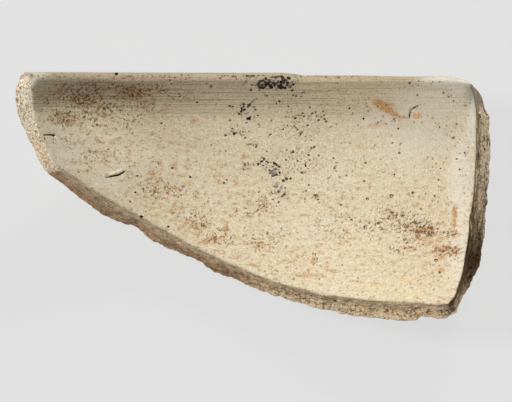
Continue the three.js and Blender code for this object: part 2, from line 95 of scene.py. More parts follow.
# How the fragment lies: turned until it balances on its back, then moved onto the floor
rest_turn = Matrix.Rotation(math.radians(7.9), 3, "X") @ Matrix.Rotation(math.radians(5.3), 3, "Y")
axis_place = Vector((0.0094844, 0.0277048, 0.13464))

# Its outline as shares: of the width from its middle, of the height below the rim
rim_fall_shares = [
    (-0.5, 0), (0.066, 0), (0.108, 0.011), (0.224, 0.012), (0.308, 0.016),
    (0.392, 0.017), (0.413, 0.02), (0.434, 0.026), (0.447, 0.033), (0.456, 0.043),
    (0.463, 0.056), (0.5, 0.06),
]
rim_wear_reach = 0.011
inner_left_shares = [
    (-0.465, 0.038), (-0.463, 0.093), (-0.459, 0.145), (-0.451, 0.213),
    (-0.442, 0.266), (-0.43, 0.318), (-0.415, 0.366), (-0.404, 0.39),
]
inner_bottom_shares = [
    (-0.404, 0.39), (-0.379, 0.419), (-0.343, 0.467), (-0.301, 0.515), (-0.259, 0.559),
    (-0.217, 0.604), (-0.175, 0.648), (-0.133, 0.692), (-0.091, 0.732), (-0.049, 0.771),
    (-0.007, 0.805), (0.035, 0.837), (0.077, 0.863), (0.119, 0.879), (0.161, 0.897),
    (0.203, 0.909), (0.245, 0.918), (0.287, 0.922), (0.329, 0.926), (0.371, 0.932),
    (0.407, 0.93),
]
inner_right_shares = [
    (0.456, 0.07), (0.461, 0.105), (0.464, 0.145), (0.466, 0.201), (0.467, 0.274),
    (0.466, 0.354), (0.463, 0.435), (0.459, 0.495), (0.455, 0.547), (0.452, 0.596),
    (0.449, 0.656), (0.442, 0.74), (0.436, 0.797), (0.428, 0.857), (0.419, 0.901),
    (0.407, 0.93),
]
outer_left_shares = [
    (-0.488, 0.024), (-0.497, 0.06), (-0.5, 0.097), (-0.5, 0.133), (-0.495, 0.173),
    (-0.484, 0.221), (-0.476, 0.262), (-0.465, 0.298), (-0.455, 0.346), (-0.438, 0.398),
]
outer_bottom_shares = [
    (-0.438, 0.398), (-0.417, 0.427), (-0.381, 0.483), (-0.348, 0.531), (-0.314, 0.575),
    (-0.28, 0.608), (-0.255, 0.62), (-0.238, 0.64), (-0.217, 0.672), (-0.196, 0.692),
    (-0.146, 0.74), (-0.121, 0.761), (-0.096, 0.789), (-0.062, 0.821), (-0.028, 0.845),
    (0.022, 0.889), (0.072, 0.918), (0.102, 0.934), (0.136, 0.954), (0.169, 0.958),
    (0.19, 0.974), (0.245, 0.986), (0.283, 0.994), (0.316, 1), (0.341, 1),
    (0.35, 0.99), (0.371, 0.988), (0.401, 0.995), (0.424, 0.965),
]
outer_right_shares = [
    (0.463, 0.048), (0.4725, 0.066), (0.481, 0.094), (0.486, 0.129), (0.495, 0.168),
    (0.496, 0.189), (0.495, 0.213),
    (0.499, 0.274), (0.5, 0.322), (0.493, 0.37), (0.495, 0.406), (0.491, 0.495),
    (0.49, 0.555), (0.487, 0.644), (0.478, 0.724), (0.468, 0.797), (0.4535, 0.861),
    (0.44, 0.909), (0.424, 0.965),
]

# The break runs steeply down from the inside, then flares out: shares of depth and of its reach
flare_depth_shares = [0, 0.5, 0.62, 0.72, 0.86, 1]
flare_reach_shares = [0, 0.36, 0.46, 0.57, 0.78, 1]
flare_wander_share = 0.07
flare_wander_length = 0.011
flare_wander_seed = 7.3
bottom_flare_from_to = (0.4, 0.52)

# Roughness of the breaks: the size of each kind of lump, and how far it stands out or sinks in
break_lumps = [(0.0085, 0.0005), (0.0028, 0.0004)]
break_grains = [(0.0012, 0.00028), (0.0007, 0.0002)]
seeds_per_metre = 9000
left_break_lump_share = 0.4
ledge_size = (0.0075, 0.0075, 0.0009)
ledge_height = 0.0003
ledge_seed = 3.1
clean_edge_share = 0.16
clean_edge_roughness_share = 0.14
smooth_band_share = 0.4
smooth_band_fade = 0.1
smooth_band_roughness_share = 0.45

# Both top corners are rubbed round: how deep, how far from the break, and the drops at which
# the wear has begun and at which it fades out
worn_corners = [
    (inner_left_shares, 1, 0.0019, 0.0026, 0.0024, (0.0015, 0.0058)),
    (inner_right_shares, -1, 0.0018, 0.0036, 0.0001, (0.0085, 0.019)),
]
worn_top_share = (0.05, 0.16)
box_gap = 0.00002
outline_samples = 16
break_steps = 1100
depth_steps = 48
edge_tolerance = 1e-6


def mix(start, end, share):
    return start + (end - start) * share


def grain(places, size, seed=0.0):
    """Smooth noise of about -1 to 1 at each place, in lumps of about the given size."""
    return np.array([noise.noise(Vector(place)) for place in places / size + seed])


def rise(values, start, end):
    """A smooth step from 0 at start to 1 at end."""
    share = np.clip((values - start) / (end - start), 0, 1)
    return share * share * (3 - 2 * share)


def rim_fall(x):
    """How far the worn rim lies below its full height at a place across the fragment."""
    shares, falls = zip(*rim_fall_shares)
    return sherd_height * np.interp(x / sherd_width, shares, falls)


def height_at(x, below):
    """The worn rim lowers the top of the lip in full, and what is under it less and less."""
    left = np.maximum(0, 1 - below / rim_wear_reach)
    return -below - rim_fall(x) * left**2


def below_at(x, height):
    """The drop below the rim that height_at turns into this height."""
    left = np.maximum(0, rim_wear_reach + height)
    root = np.sqrt(np.maximum(0, rim_wear_reach**2 - 4 * rim_fall(x) * left))
    past = np.maximum(-height, rim_wear_reach)
    return past - 2 * rim_wear_reach * left / (rim_wear_reach + root)


def radius_at(below, depth):
    """Distance of the wall from the vessel's axis, at a drop below the rim and a depth."""
    shoulder = (shoulder_arc_radius + depth) ** 2 - (shoulder_centre_depth - below) ** 2
    body = (body_arc_radius + depth) ** 2 - (below - widest_below_rim) ** 2
    joint = widest_below_rim - (body_arc_radius + depth) * math.sin(shoulder_angle)
    return np.where(
        below < joint,
        shoulder_centre_radius + np.sqrt(np.maximum(shoulder, 0)),
        body_centre_radius + np.sqrt(body),
    )


def outline(shares):
    """Places at even steps along the smooth line through an outline's points."""
    points = np.array(shares) * (sherd_width, -sherd_height)
    ends = np.vstack([2 * points[0] - points[1], points, 2 * points[-1] - points[-2]])
    t = np.linspace(0, 1, outline_samples, endpoint=False)[:, None]
    runs = []
    for a, b, c, d in zip(ends, ends[1:], ends[2:], ends[3:]):
        bend = (2 * a - 5 * b + 4 * c - d) * t**2 + (3 * b - a - 3 * c + d) * t**3
        runs.append(b + ((c - a) * t + bend) / 2)
    line = np.vstack([*runs, points[-1:]])
    length = np.append(0, np.cumsum(np.linalg.norm(np.diff(line, axis=0), axis=1)))
    even = np.linspace(0, length[-1], break_steps + 1)
    return np.column_stack([np.interp(even, length, line[:, k]) for k in (0, 1)])


def broken_face(inner_shares, outer_shares, flared, lump_share, smooth_band, worn_top):
    """A broken edge as a grid of places seen square to the axis: along it, and into the wall."""
    inner, outer = outline(inner_shares)[:, None], outline(outer_shares)[:, None]
    depth = np.linspace(0, 1, depth_steps + 1)[None, :]
    across = (outer - inner) / np.linalg.norm(outer - inner, axis=2, keepdims=True)
    whole = np.broadcast_to(depth[..., None], (break_steps + 1, depth_steps + 1, 1))
    start = np.concatenate([mix(inner, outer, whole), whole * wall_thickness], axis=2)
    flat = start.reshape(-1, 3)
    wander = grain(flat, flare_wander_length, flare_wander_seed).reshape(whole.shape)
    bent = np.clip(whole + flare_wander_share * wander * np.sin(math.pi * whole), 0, 1)
    reach = mix(bent, np.interp(bent, flare_depth_shares, flare_reach_shares), flared)
    rough = ledge_height * grain(flat, ledge_size, ledge_seed)
    for size, height in break_lumps:
        rough += lump_share * height * grain(flat, size, size * seeds_per_metre)
    sandy = sum(height * grain(flat, size, size * seeds_per_metre) for size, height in break_grains)
    clean = mix(clean_edge_roughness_share, 1, rise(whole, 0, clean_edge_share))
    banded = rise(whole, smooth_band - smooth_band_fade, smooth_band + smooth_band_fade)
    sandy = sandy.reshape(whole.shape) * mix(smooth_band_roughness_share, 1, banded)
    rough = (rough.reshape(whole.shape) + sandy) * clean * worn_top
    return mix(inner, outer, reach) + across * rough


along_breaks = np.linspace(0, 1, break_steps + 1)[:, None, None]
bottom_flare = rise(along_breaks, *bottom_flare_from_to)
right_top = rise(along_breaks, *worn_top_share)
breaks = {
    "left": broken_face(inner_left_shares, outer_left_shares, 0, left_break_lump_share, 0, 1),
    "bottom": broken_face(
        inner_bottom_shares, outer_bottom_shares, bottom_flare, 1, smooth_band_share, 1
    ),
    "right": broken_face(
        inner_right_shares, outer_right_shares, 1, 1, smooth_band_share, right_top
    ),
}


def edge(side, along, depth_share):
    """Places on a broken edge, read from its grid."""
    grid = breaks[side]
    row, column = along * break_steps, depth_share * depth_steps
    i = np.clip(row.astype(int), 0, break_steps - 1)
    j = np.clip(column.astype(int), 0, depth_steps - 1)
    up, out = (row - i)[:, None], (column - j)[:, None]
    near = mix(grid[i, j], grid[i + 1, j], up)
    return mix(near, mix(grid[i, j + 1], grid[i + 1, j + 1], up), out)


def lip_foot_at(depth_share):
    """The drop at which the wall at this depth hands over to the lip."""
    depth = np.minimum(depth_share, core_share) * wall_thickness
    inner = lip_inner_round + (lip_inner_round - depth) * math.sin(lip_inner_angle)
    outer = lip_outer_round * (1 - math.sin(lip_outer_angle))
    return mix(inner, outer, np.maximum(0, depth_share - core_share) / (1 - core_share))


def sheet(across, down, depth_share):
    """Place across and drop of the wall at one depth, spread between its four edges."""
    foot = lip_foot_at(depth_share)
    nought, full = np.zeros_like(across), np.ones_like(across)
    left_top, right_top = edge("left", nought, depth_share), edge("right", nought, depth_share)
    left, right = edge("left", down, depth_share), edge("right", down, depth_share)
    left_end, right_end = edge("left", full, depth_share), edge("right", full, depth_share)
    corners = []
    for side, top in ((left, left_top), (right, right_top)):
        corner = np.column_stack([top[:, 0], height_at(top[:, 0], foot)])
        side[:, 1] += (corner[:, 1] - top[:, 1]) * (1 - down)
        corners.append(corner)
    a, q = across[:, None], down[:, None]
    x = mix(left_top[:, 0], right_top[:, 0], across)
    top = np.column_stack([x, height_at(x, foot)])
    bottom = edge("bottom", across, depth_share)
    four = mix(mix(corners[0], corners[1], a), mix(left_end, right_end, a), q)
    place = mix(top, bottom, q) + mix(left, right, a) - four
    return place[:, 0], below_at(place[:, 0], place[:, 1])


def corner_wear(x, height):
    """How deep the inside is rubbed down at the tops of the left and right breaks."""
    worn = np.zeros_like(x)
    for edge_shares, inwards, depth, reach, begun, fade in worn_corners:
        shares, drops = zip(*edge_shares)
        side = sherd_width * np.interp(-height / sherd_height, drops, shares)
        near = np.clip(1 - inwards * (x - side) / reach, 0, 1)
        worn += depth * near**2 * rise(-height, 0, begun) * (1 - rise(-height, *fade))
    return worn


def vessel_points(x, below, radius):
    """Points of the wall in the vessel's frame."""
    return np.column_stack([x, height_at(x, below), -np.sqrt(radius**2 - x**2)])


def lay_down(points):
    """Turns and moves points from the vessel's frame to where the fragment lies, worn flat."""
    laid = points @ np.array(rest_turn).T + np.array(axis_place)
    low, high = (np.array(corner) for corner in cad_box)
    return np.clip(laid, low + (box_gap, box_gap, 0), high - box_gap)


def unit_slab(cells):
    """A unit cube with its faces cut into cells along each of its three directions."""
    body = bmesh.new()
    bmesh.ops.create_cube(body, size=1)
    bmesh.ops.translate(body, vec=(0.5, 0.5, 0.5), verts=body.verts)
    for axis, count in enumerate(cells):
        lines = [e for e in body.edges if abs(e.verts[0].co[axis] - e.verts[1].co[axis]) > 0.5]
        if count > 1:
            bmesh.ops.subdivide_edges(body, edges=lines, cuts=count - 1, use_grid_fill=True)
    return body


def shares_of(body):
    """The corners of a bmesh as an array with a row for each."""
    return np.array([tuple(v.co) for v in body.verts])


def at_edges(shares):
    """Which corners of a slab lie on its lip side or on one of its three broken sides."""
    return ((shares[:, :2] < edge_tolerance) | (shares[:, :2] > 1 - edge_tolerance)).any(axis=1)


def cut_finer(body, chosen, cuts):
    """Cuts the edges whose both ends are chosen, and the faces between them."""
    body.verts.index_update()
    lines = [e for e in body.edges if chosen[e.verts[0].index] and chosen[e.verts[1].index]]
    bmesh.ops.subdivide_edges(body, edges=lines, cuts=cuts, use_grid_fill=True)


def add_object(name, data):
    """An object of a mesh, a lamp or a camera, in the scene."""
    made = bpy.data.objects.new(name, data)
    bpy.context.scene.collection.objects.link(made)
    return made


def make_mesh(name, body, places):
    """A smooth mesh object of a bmesh whose corners go to the given places."""
    mesh = bpy.data.meshes.new(name)
    body.to_mesh(mesh)
    body.free()
    mesh.vertices.foreach_set("co", places.astype(np.float32).ravel())
    mesh.shade_smooth()
    mesh.update()
    return add_object(name, mesh)


def set_attribute(piece, name, *values):
    """Stores three numbers for each corner, for the piece's material to read."""
    layer = piece.data.attributes.new(name, "FLOAT_VECTOR", "POINT")
    layer.data.foreach_set("vector", np.column_stack(values).astype(np.float32).ravel())


# The wall starts just behind the slip; across, down and into it, with each break cut finer
slip_thickness = 0.0007
slip_fit_gap = 0.00002
core_share = (slip_thickness + slip_fit_gap) / wall_thickness
wall_cells = (160, 84, 12)
break_cuts = 2
slip_end_step = 0.00002
lip_corner_share = 12 / 36
lip_step_share = 18 / 36
lip_crest_share = 19 / 36
lip_blend_power = 1.5
turning_mark_spacing = 0.0034
turning_mark_stretch = 9
turning_mark_depth = 0.00012
outside_swell_length = 0.03
outside_swell_depth = 0.0003

# Where each look of the wall begins and ends: shares of its grid, then places on the breaks
side_zone = 0.01
right_side_from_to = (0.985, 1)
outside_from_to = (0.97, 1)
turned_outside_from_to = (0.8, 1)
coarse_from_to = (0.48, 0.62)
coarse_depth_from_to = (0.2, 0.5)
crack_below_rim = 0.0655
crack_half_height = 0.0105
worn_and_shaded_right_drop = (0.0145, 0.0105)
dark_right_drop = (0.022, 0.055)
ruddy_left_drop = (0.026, 0.017)
pale_bottom_from_to = (-0.01, -0.045)


def lip_arc(centre, round_radius, depth, angle):
    """Radius and drop on a round of the lip."""
    turn = round_radius - depth
    return centre + turn * np.cos(angle), round_radius - turn * np.sin(angle)


def lip_inside(depth, share, bent_share, level_share):
    """Radius and drop on the lip, round its inner corner and then level up to its crest."""
    angle = mix(math.pi + lip_inner_angle, math.pi / 2, np.clip(share / bent_share, 0, 1))
    radius, below = lip_arc(lip_inner_centre, lip_inner_round, depth, angle)
    run = np.clip((share - bent_share) / (level_share - bent_share), 0, 1)
    return radius + (lip_outer_centre - lip_inner_centre) * run, below


def wall_lip(share):
    """Radius and drop on the wall's lip, from the foot inside (0) to the foot outside (1)."""
    depth = slip_thickness + slip_fit_gap
    radius, below = lip_inside(depth, share, lip_corner_share, lip_step_share)
    step = np.clip((share - lip_step_share) / (lip_crest_share - lip_step_share), 0, 1)
    radius, below = radius + slip_end_step * step, below * (1 - step)
    angle = mix(math.pi / 2, lip_outer_angle, (share - lip_crest_share) / (1 - lip_crest_share))
    outer_radius, outer_below = lip_arc(lip_outer_centre, lip_outer_round, 0, angle)
    outside = share > lip_crest_share
    return np.where(outside, outer_radius, radius), np.where(outside, outer_below, below)


wall_body = unit_slab(wall_cells)
cut_finer(wall_body, at_edges(shares_of(wall_body)), break_cuts)
across, down, into = shares_of(wall_body).T
depth_share = mix(core_share, 1, into)
x, below = sheet(across, down, depth_share)
drop = edge("bottom", across, depth_share)[:, 1]
near_lip = np.clip(1 + down * drop / lip_blend_reach, 0, 1) ** lip_blend_power
foot = lip_foot_at(depth_share)
lip_radius, lip_below = wall_lip(into)
drawn = np.column_stack([x / turning_mark_stretch, below, 0 * x])
outside_mark = turning_mark_depth * grain(drawn, turning_mark_spacing)
flat = np.column_stack([x, below, 0 * x])
outside_swell = outside_swell_depth * grain(flat, outside_swell_length)
hollow = rise(into, *turned_outside_from_to) * (np.abs(outside_mark) + np.abs(outside_swell))
depth = depth_share * wall_thickness - hollow * (1 - near_lip)
radius = radius_at(below, depth) + (
    (lip_radius - radius_at(foot, depth_share * wall_thickness)) * near_lip
)
lip_drop = below + (lip_below - foot) * near_lip
radius = radius + corner_wear(x, height_at(x, lip_drop)) * (1 - depth_share)
wall = make_mesh("fired_clay_wall", wall_body, lay_down(vessel_points(x, lip_drop, radius)))
left_side = 1 - rise(across, 0, side_zone)
right_side = rise(across, *right_side_from_to)
outside_lap = np.maximum(rise(into, *outside_from_to), 1 - rise(down, 0, side_zone))
coarse = rise(across, *coarse_from_to) * rise(depth_share, *coarse_depth_from_to)
cracked = right_side * np.exp(-(((below - crack_below_rim) / crack_half_height) ** 2))
set_attribute(wall, "turned", x, below, depth)
set_attribute(wall, "fabric", depth_share, right_side, outside_lap)
set_attribute(wall, "broken", left_side, np.maximum(left_side, coarse), cracked)


def new_material(name):
    """A material, its node tree and its Principled BSDF."""
    material = bpy.data.materials.new(name)
    material.use_nodes = True
    shader = material.node_tree.nodes["Principled BSDF"]
    return material, material.node_tree, shader


def put(tree, kind, inputs=(), **settings):
    """Adds a shader node with its settings, and fills or links its inputs."""
    made = tree.nodes.new("ShaderNode" + kind)
    for key, value in settings.items():
        setattr(made, key, value)
    for key, value in dict(inputs).items():
        if isinstance(value, bpy.types.NodeSocket):
            tree.links.new(value, made.inputs[key])
        else:
            made.inputs[key].default_value = value
    return made


def sums(operation, *values):
    """The result of a Math node, in the tree of the first socket among its values."""
    tree = next(v for v in values if isinstance(v, bpy.types.NodeSocket)).id_data
    return put(tree, "Math", dict(enumerate(values)), operation=operation).outputs[0]


def times(value, factor):
    """A value times a factor."""
    return sums("MULTIPLY", value, factor)


def times_plus(value, factor, more):
    """A value times a factor, and more added to it."""
    return sums("MULTIPLY_ADD", value, factor, more)


def ease(value, start, end):
    """A smooth step from 0 where the value is start to 1 where it is end."""
    inputs = {"Value": value, "From Min": start, "From Max": end}
    return put(value.id_data, "MapRange", inputs, interpolation_type="SMOOTHSTEP").outputs[0]


def tint(share, under, over):
    """A colour over another by a share."""
    inputs = {0: share, 6: under, 7: over}
    return put(share.id_data, "Mix", inputs, data_type="RGBA").outputs[2]


def cloud(place, size, detail=2.0, roughness=0.5):
    """Noise from 0 to 1 in lumps of the given size."""
    inputs = {"Vector": place, "Scale": 1 / size, "Detail": detail, "Roughness": roughness}
    return put(place.id_data, "TexNoise", inputs).outputs[0]


def stretch(place, scale):
    """A place with each direction scaled, so that a pattern on it is drawn out."""
    return put(place.id_data, "Mapping", {"Vector": place, "Scale": scale}).outputs[0]


def read_attribute(tree, name):
    """The vector stored on the corners under a name, and its three numbers."""
    stored = put(tree, "Attribute", attribute_name=name)
    parts = put(tree, "SeparateXYZ", {0: stored.outputs["Vector"]})
    return stored.outputs["Vector"], parts.outputs


def new_group(name, inputs):
    """A shader node group with named numbers in, after a Place, and one Mask out."""
    group = bpy.data.node_groups.new(name, "ShaderNodeTree")
    group.interface.new_socket("Place", in_out="INPUT", socket_type="NodeSocketVector")
    for key in inputs:
        group.interface.new_socket(key, in_out="INPUT", socket_type="NodeSocketFloat")
    group.interface.new_socket("Mask", in_out="OUTPUT", socket_type="NodeSocketFloat")
    start = group.nodes.new("NodeGroupInput")
    end = group.nodes.new("NodeGroupOutput")
    return group, start.outputs, end.inputs


def speckle_group():
    """Ragged specks of mixed size: of the cells of the given size, a share holds one."""
    group, given, out = new_group("speckle", ["Size", "Share", "Softness"])
    scale = sums("DIVIDE", 1.0, given["Size"])
    finer = times(scale, 1.7)
    push = put(group, "TexNoise", {"Vector": given["Place"], "Scale": finer}).outputs["Color"]
    far = times(given["Size"], 1.6)
    pushed = put(group, "VectorMath", {0: push, "Scale": far}, operation="SCALE")
    bent = put(group, "VectorMath", {0: pushed.outputs[0], 1: given["Place"]}, operation="ADD")
    cells = put(group, "TexVoronoi", {"Vector": bent.outputs[0], "Scale": scale})
    draw = put(group, "SeparateColor", {0: cells.outputs["Color"]}).outputs
    held = sums("LESS_THAN", draw[0], given["Share"])
    reach = times_plus(draw[1], 0.28, 0.12)
    gone_at = sums("ADD", reach, given["Softness"])
    near = ease(cells.outputs["Distance"], gone_at, reach)
    strong = times_plus(draw[2], 0.7, 0.3)
    group.links.new(times(times(held, near), strong), out["Mask"])
    return group


speckle = speckle_group()


def specks(place, size, share, softness=0.1):
    """Places the speckle group with its own values."""
    inputs = {"Place": place, "Size": size, "Share": share, "Softness": softness}
    return put(place.id_data, "Group", inputs, node_tree=speckle).outputs["Mask"]


def washes(colour, *layers):
    """A colour under layers, each with its tone, the mask that it shows in and its strength."""
    for tone, mask, strength in layers:
        over = (*tone, 1) if isinstance(tone, tuple) else tone
        colour = tint(times(mask, strength), colour, over)
    return colour


def dress(shader, colour, roughness, gloss, height, bump_strength, bump_distance):
    """Gives the shader its colour, its roughness and gloss, and a bump from a height."""
    tree = colour.id_data
    tree.links.new(colour, shader.inputs["Base Color"])
    shader.inputs["Roughness"].default_value = roughness
    shader.inputs["Specular IOR Level"].default_value = gloss
    inputs = {"Height": height, "Strength": bump_strength, "Distance": bump_distance}
    tree.links.new(put(tree, "Bump", inputs).outputs[0], shader.inputs["Normal"])


def right_break(turned, wander, low, cracked):
    """Dark clay behind the slip and paler further out, darker lower down, streaked and cracked."""
    drawn = cloud(stretch(turned, (0.14, 0.14, 1)), 0.0009, 2, 0.55)
    return washes(
        tint(ease(wander, 0.72, 0.92), (0.36, 0.26, 0.16, 1), (0.98, 0.8, 0.55, 1)),
        ((0.2, 0.112, 0.05), low, 0.8),
        ((0.06, 0.034, 0.016), ease(drawn, 0.56, 0.61), 0.85),
        ((0.95, 0.74, 0.46), ease(drawn, 0.47, 0.41), 0.7),
        ((0.035, 0.017, 0.006), cracked, 0.92),
    )


def outside_face(place, turned):
    """Plain beige clay with faint turning marks, blotches and dark specks."""
    marks = cloud(stretch(turned, (0.08, 1, 1)), 0.0011, 3, 0.6)
    return washes(
        tint(ease(marks, 0.35, 0.65), (0.56, 0.43, 0.29, 1), (0.66, 0.53, 0.365, 1)),
        ((0.5, 0.35, 0.21), ease(cloud(place, 0.017, 5, 0.6), 0.45, 0.62), 0.5),
        ((0.25, 0.16, 0.1), specks(place, 0.0013, 0.3), 0.6),
    )


def fired_clay():
    """Sandy clay: grey-brown behind the slip, redder further out, cream in the left break."""
    material, tree, shader = new_material("fired_clay")
    place = put(tree, "TexCoord").outputs["Object"]
    turned, (from_middle, drop, _) = read_attribute(tree, "turned")
    _, (into_wall, on_right, outside) = read_attribute(tree, "fabric")
    _, (on_left, coarse, cracked) = read_attribute(tree, "broken")
    wander = times_plus(cloud(place, 0.004, 3), 0.5, into_wall)
    streaks = cloud(stretch(turned, (0.2, 0.2, 1)), 0.0007, 4, 0.7)
    sand = cloud(place, 0.001, 3, 0.7)
    fine = cloud(place, 0.0006, 2, 0.7)
    outer = tint(coarse, (0.43, 0.27, 0.15, 1), (1, 0.76, 0.47, 1))
    cream = tint(ease(fine, 0.41, 0.445), (0.33, 0.19, 0.085, 1), (1, 0.94, 0.75, 1))
    low = ease(drop, *dark_right_drop)
    low_right = times(on_right, low)
    high_left = times(on_left, ease(drop, *ruddy_left_drop))
    streaked = times_plus(coarse, 0.45, 0.45)
    rusty = ease(cloud(turned, 0.003, 4, 0.7), 0.54, 0.64)
    ruddy = times_plus(on_right, -0.85, times_plus(high_left, -0.3, 1.0))
    grains = times(coarse, ease(sand, 0.51, 0.56))
    bright = times_plus(cracked, -0.35, times_plus(low_right, -0.65, 1.0))
    crumbs = times(coarse, ease(fine, 0.53, 0.58))
    holes = specks(place, 0.0009, 0.4)
    deep = times_plus(coarse, 0.35, 0.6)
    for mask, more in ((on_left, -0.3), (high_left, -0.35), (on_right, -0.4), (low_right, -0.2)):
        deep = times_plus(mask, more, deep)
    # Top of the right break: grey-brown of the rubbed corner, with painted shade
    worn = times(on_right, ease(drop, *worn_and_shaded_right_drop))
    colour = washes(
        tint(ease(wander, 0.6, 0.85), (0.66, 0.5, 0.315, 1), outer),
        ((0.7, 0.49, 0.34), ease(from_middle, *pale_bottom_from_to), 0.25),
        ((0.1, 0.055, 0.03), times(ease(streaks, 0.52, 0.57), streaked), 1),
        ((0.9, 0.69, 0.43), times(ease(streaks, 0.45, 0.4), streaked), 0.8),
        ((0.36, 0.18, 0.09), rusty, 0.55),
        ((1, 0.79, 0.53), times(coarse, ease(wander, 1.06, 1.2)), 0.75),
        (cream, on_left, 1),
        (right_break(turned, wander, low, cracked), on_right, 1),
        ((0.54, 0.26, 0.1), times(grains, ruddy), 0.75),
        ((0.95, 0.62, 0.34), sums("SUBTRACT", on_left, high_left), 0.3),
        ((1, 0.88, 0.64), times(crumbs, bright), 0.75),
        ((0.1, 0.058, 0.03), times(holes, deep), 1),
        # Grey-brown of the rubbed corner, with painted shade
        ((0.36, 0.29, 0.2), worn, 0.85),
        (outside_face(place, turned), outside, 1),
    )
    bumpy = times_plus(on_left, -0.75, times_plus(coarse, 0.6, 0.55))
    height = times(cloud(place, 0.0008, 4, 0.7), bumpy)
    dress(shader, colour, 0.95, 0.08, times_plus(holes, -0.25, height), 0.9, 0.0008)
    return material


wall.data.materials.append(fired_clay())
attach(wall, "root")
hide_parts("clay_wall")

# The cream slip: a thin skin of finer, paler clay that the potter washed over the inside and
# the lip, and turned on the wheel. It is pitted where chaff burnt out, scratched and stained.
slip_cells = (96, 48, 1)
slip_lip_rows = 6
slip_cuts = 3
pit_cuts = 2
pit_margin = 0.00045
lip_bend_share = 0.7
pixel = 0.00035
middle_column = 253.5
rim_row = 72

# Pits left by burnt-out chaff and grains: column and row in the photograph, and half width
pit_pixels = [
    (116, 73.5, 1.8), (170, 80, 1.2), (211, 86, 1.4), (197, 102, 1.2), (161, 123, 1.1),
    (39, 128, 1.1), (44, 102.5, 1), (132, 133.5, 0.9), (158, 164, 0.8), (172, 168, 1.2),
    (137, 176, 1), (190, 177, 1.2), (143, 189, 1), (135, 192.5, 1), (130, 202, 1.1),
    (141, 217, 1.7), (168, 227, 1.1), (224, 183, 1.3), (293.5, 151, 1), (309, 155, 1.1),
    (319, 155.5, 0.9), (310, 160, 0.9), (334, 158, 0.9), (283.5, 129, 0.8), (271, 134, 0.8),
    (298, 161, 0.9), (306, 166, 1), (302, 172, 0.8), (364, 118.5, 1.1), (395, 119, 1.2),
    (399, 128.5, 1), (369, 111, 0.8), (393, 143, 0.9), (400, 153, 1.2), (410, 83, 1.2),
    (419, 81, 0.8), (433, 82, 0.8), (440, 82, 0.8), (418, 95, 1), (444, 93, 1),
    (449, 97, 0.8), (454, 101, 0.9), (454, 138, 1.6), (457, 124, 1), (440, 127, 0.8),
    (366, 163, 1), (395, 174.5, 1), (365, 181, 1.2), (347, 175.5, 0.9), (392, 196, 1.9),
    (413.5, 193, 1.5), (368, 199, 1.5), (317, 196, 1.8), (309, 185, 1), (439, 180, 0.8),
    (441, 168.5, 0.8), (460, 169.5, 0.9), (457, 159, 0.9), (465, 153, 0.9), (435, 196, 0.9),
    (426, 194, 0.7), (352, 220, 1.3), (365, 227, 1.3), (379, 223.5, 1.4), (341, 205, 1),
    (421.5, 209, 0.9), (438, 229, 1), (436, 260.5, 1.7), (439.5, 272.5, 1.1), (350, 108, 0.9),
    (43, 79, 0.9), (251, 89.5, 1.1), (51, 179, 0.8), (60, 186, 1), (232, 76, 0.7),
    (314.8, 146.8, 1.3), (311.4, 147.6, 0.9), (335, 168.2, 1.2), (230.4, 106, 0.9),
    (233.1, 106.2, 0.9), (230.2, 119.9, 1.1), (279.8, 101, 1.3), (276.8, 102.7, 0.8),
    (267.2, 95.2, 0.9), (246.5, 122.5, 0.9), (293.7, 94.7, 0.9), (296.4, 95.6, 0.9),
    (301.3, 96.1, 0.8), (288.7, 106, 1), (295.9, 117.6, 1.2), (302.9, 112.7, 0.9),
    (304.4, 115.9, 1.1), (308, 125.1, 1.2), (310.3, 107.3, 0.8), (313, 113.1, 1.2),
    (316.1, 111.8, 0.9), (319.1, 119.9, 1.3), (325.1, 118.8, 1), (326.5, 121, 1.1),
    (324.6, 114.9, 0.9), (323.7, 110.9, 0.8), (331.4, 126.6, 0.8), (270.3, 134.7, 0.8),
    (258.2, 114.9, 0.9), (258.7, 123.9, 0.8), (300.9, 134.2, 0.8), (241.2, 134.7, 0.8),
    (293.7, 152, 1), (286.9, 149.9, 0.8), (286, 159.8, 0.9), (305.8, 165.2, 0.8),
    (301.8, 172.8, 0.9), (318.8, 155.5, 0.9), (306.2, 190.8, 0.9), (314.8, 195.2, 1),
    (318.4, 199.7, 1), (305.2, 199.1, 0.8), (341.7, 205.1, 1.1), (226.8, 180, 0.9),
    (245.2, 137.8, 1), (259.1, 192.1, 0.9), (273, 199.7, 0.9), (278.9, 202.4, 1),
    (264.5, 158.9, 1), (274.4, 186.7, 0.9), (291.9, 90.2, 0.8), (303, 92.2, 0.8),
    (53.2, 135.3, 1.5), (51.4, 135.2, 1), (234.2, 133.4, 1.6), (232, 128.4, 0.9), (225.6, 135.2, 1.3),
    (243, 131.8, 0.8), (229.6, 105.4, 0.8), (256, 147, 0.9), (267, 151.5, 0.8),
]
pit_depth = 0.0009
pit_fade = (0.35, 1.25)
pit_lean = 0.35
pit_lean_spread = 1.7
pit_squeeze = 1.15
# How strongly the pits are painted in shade
pit_shade_strength = 1.3

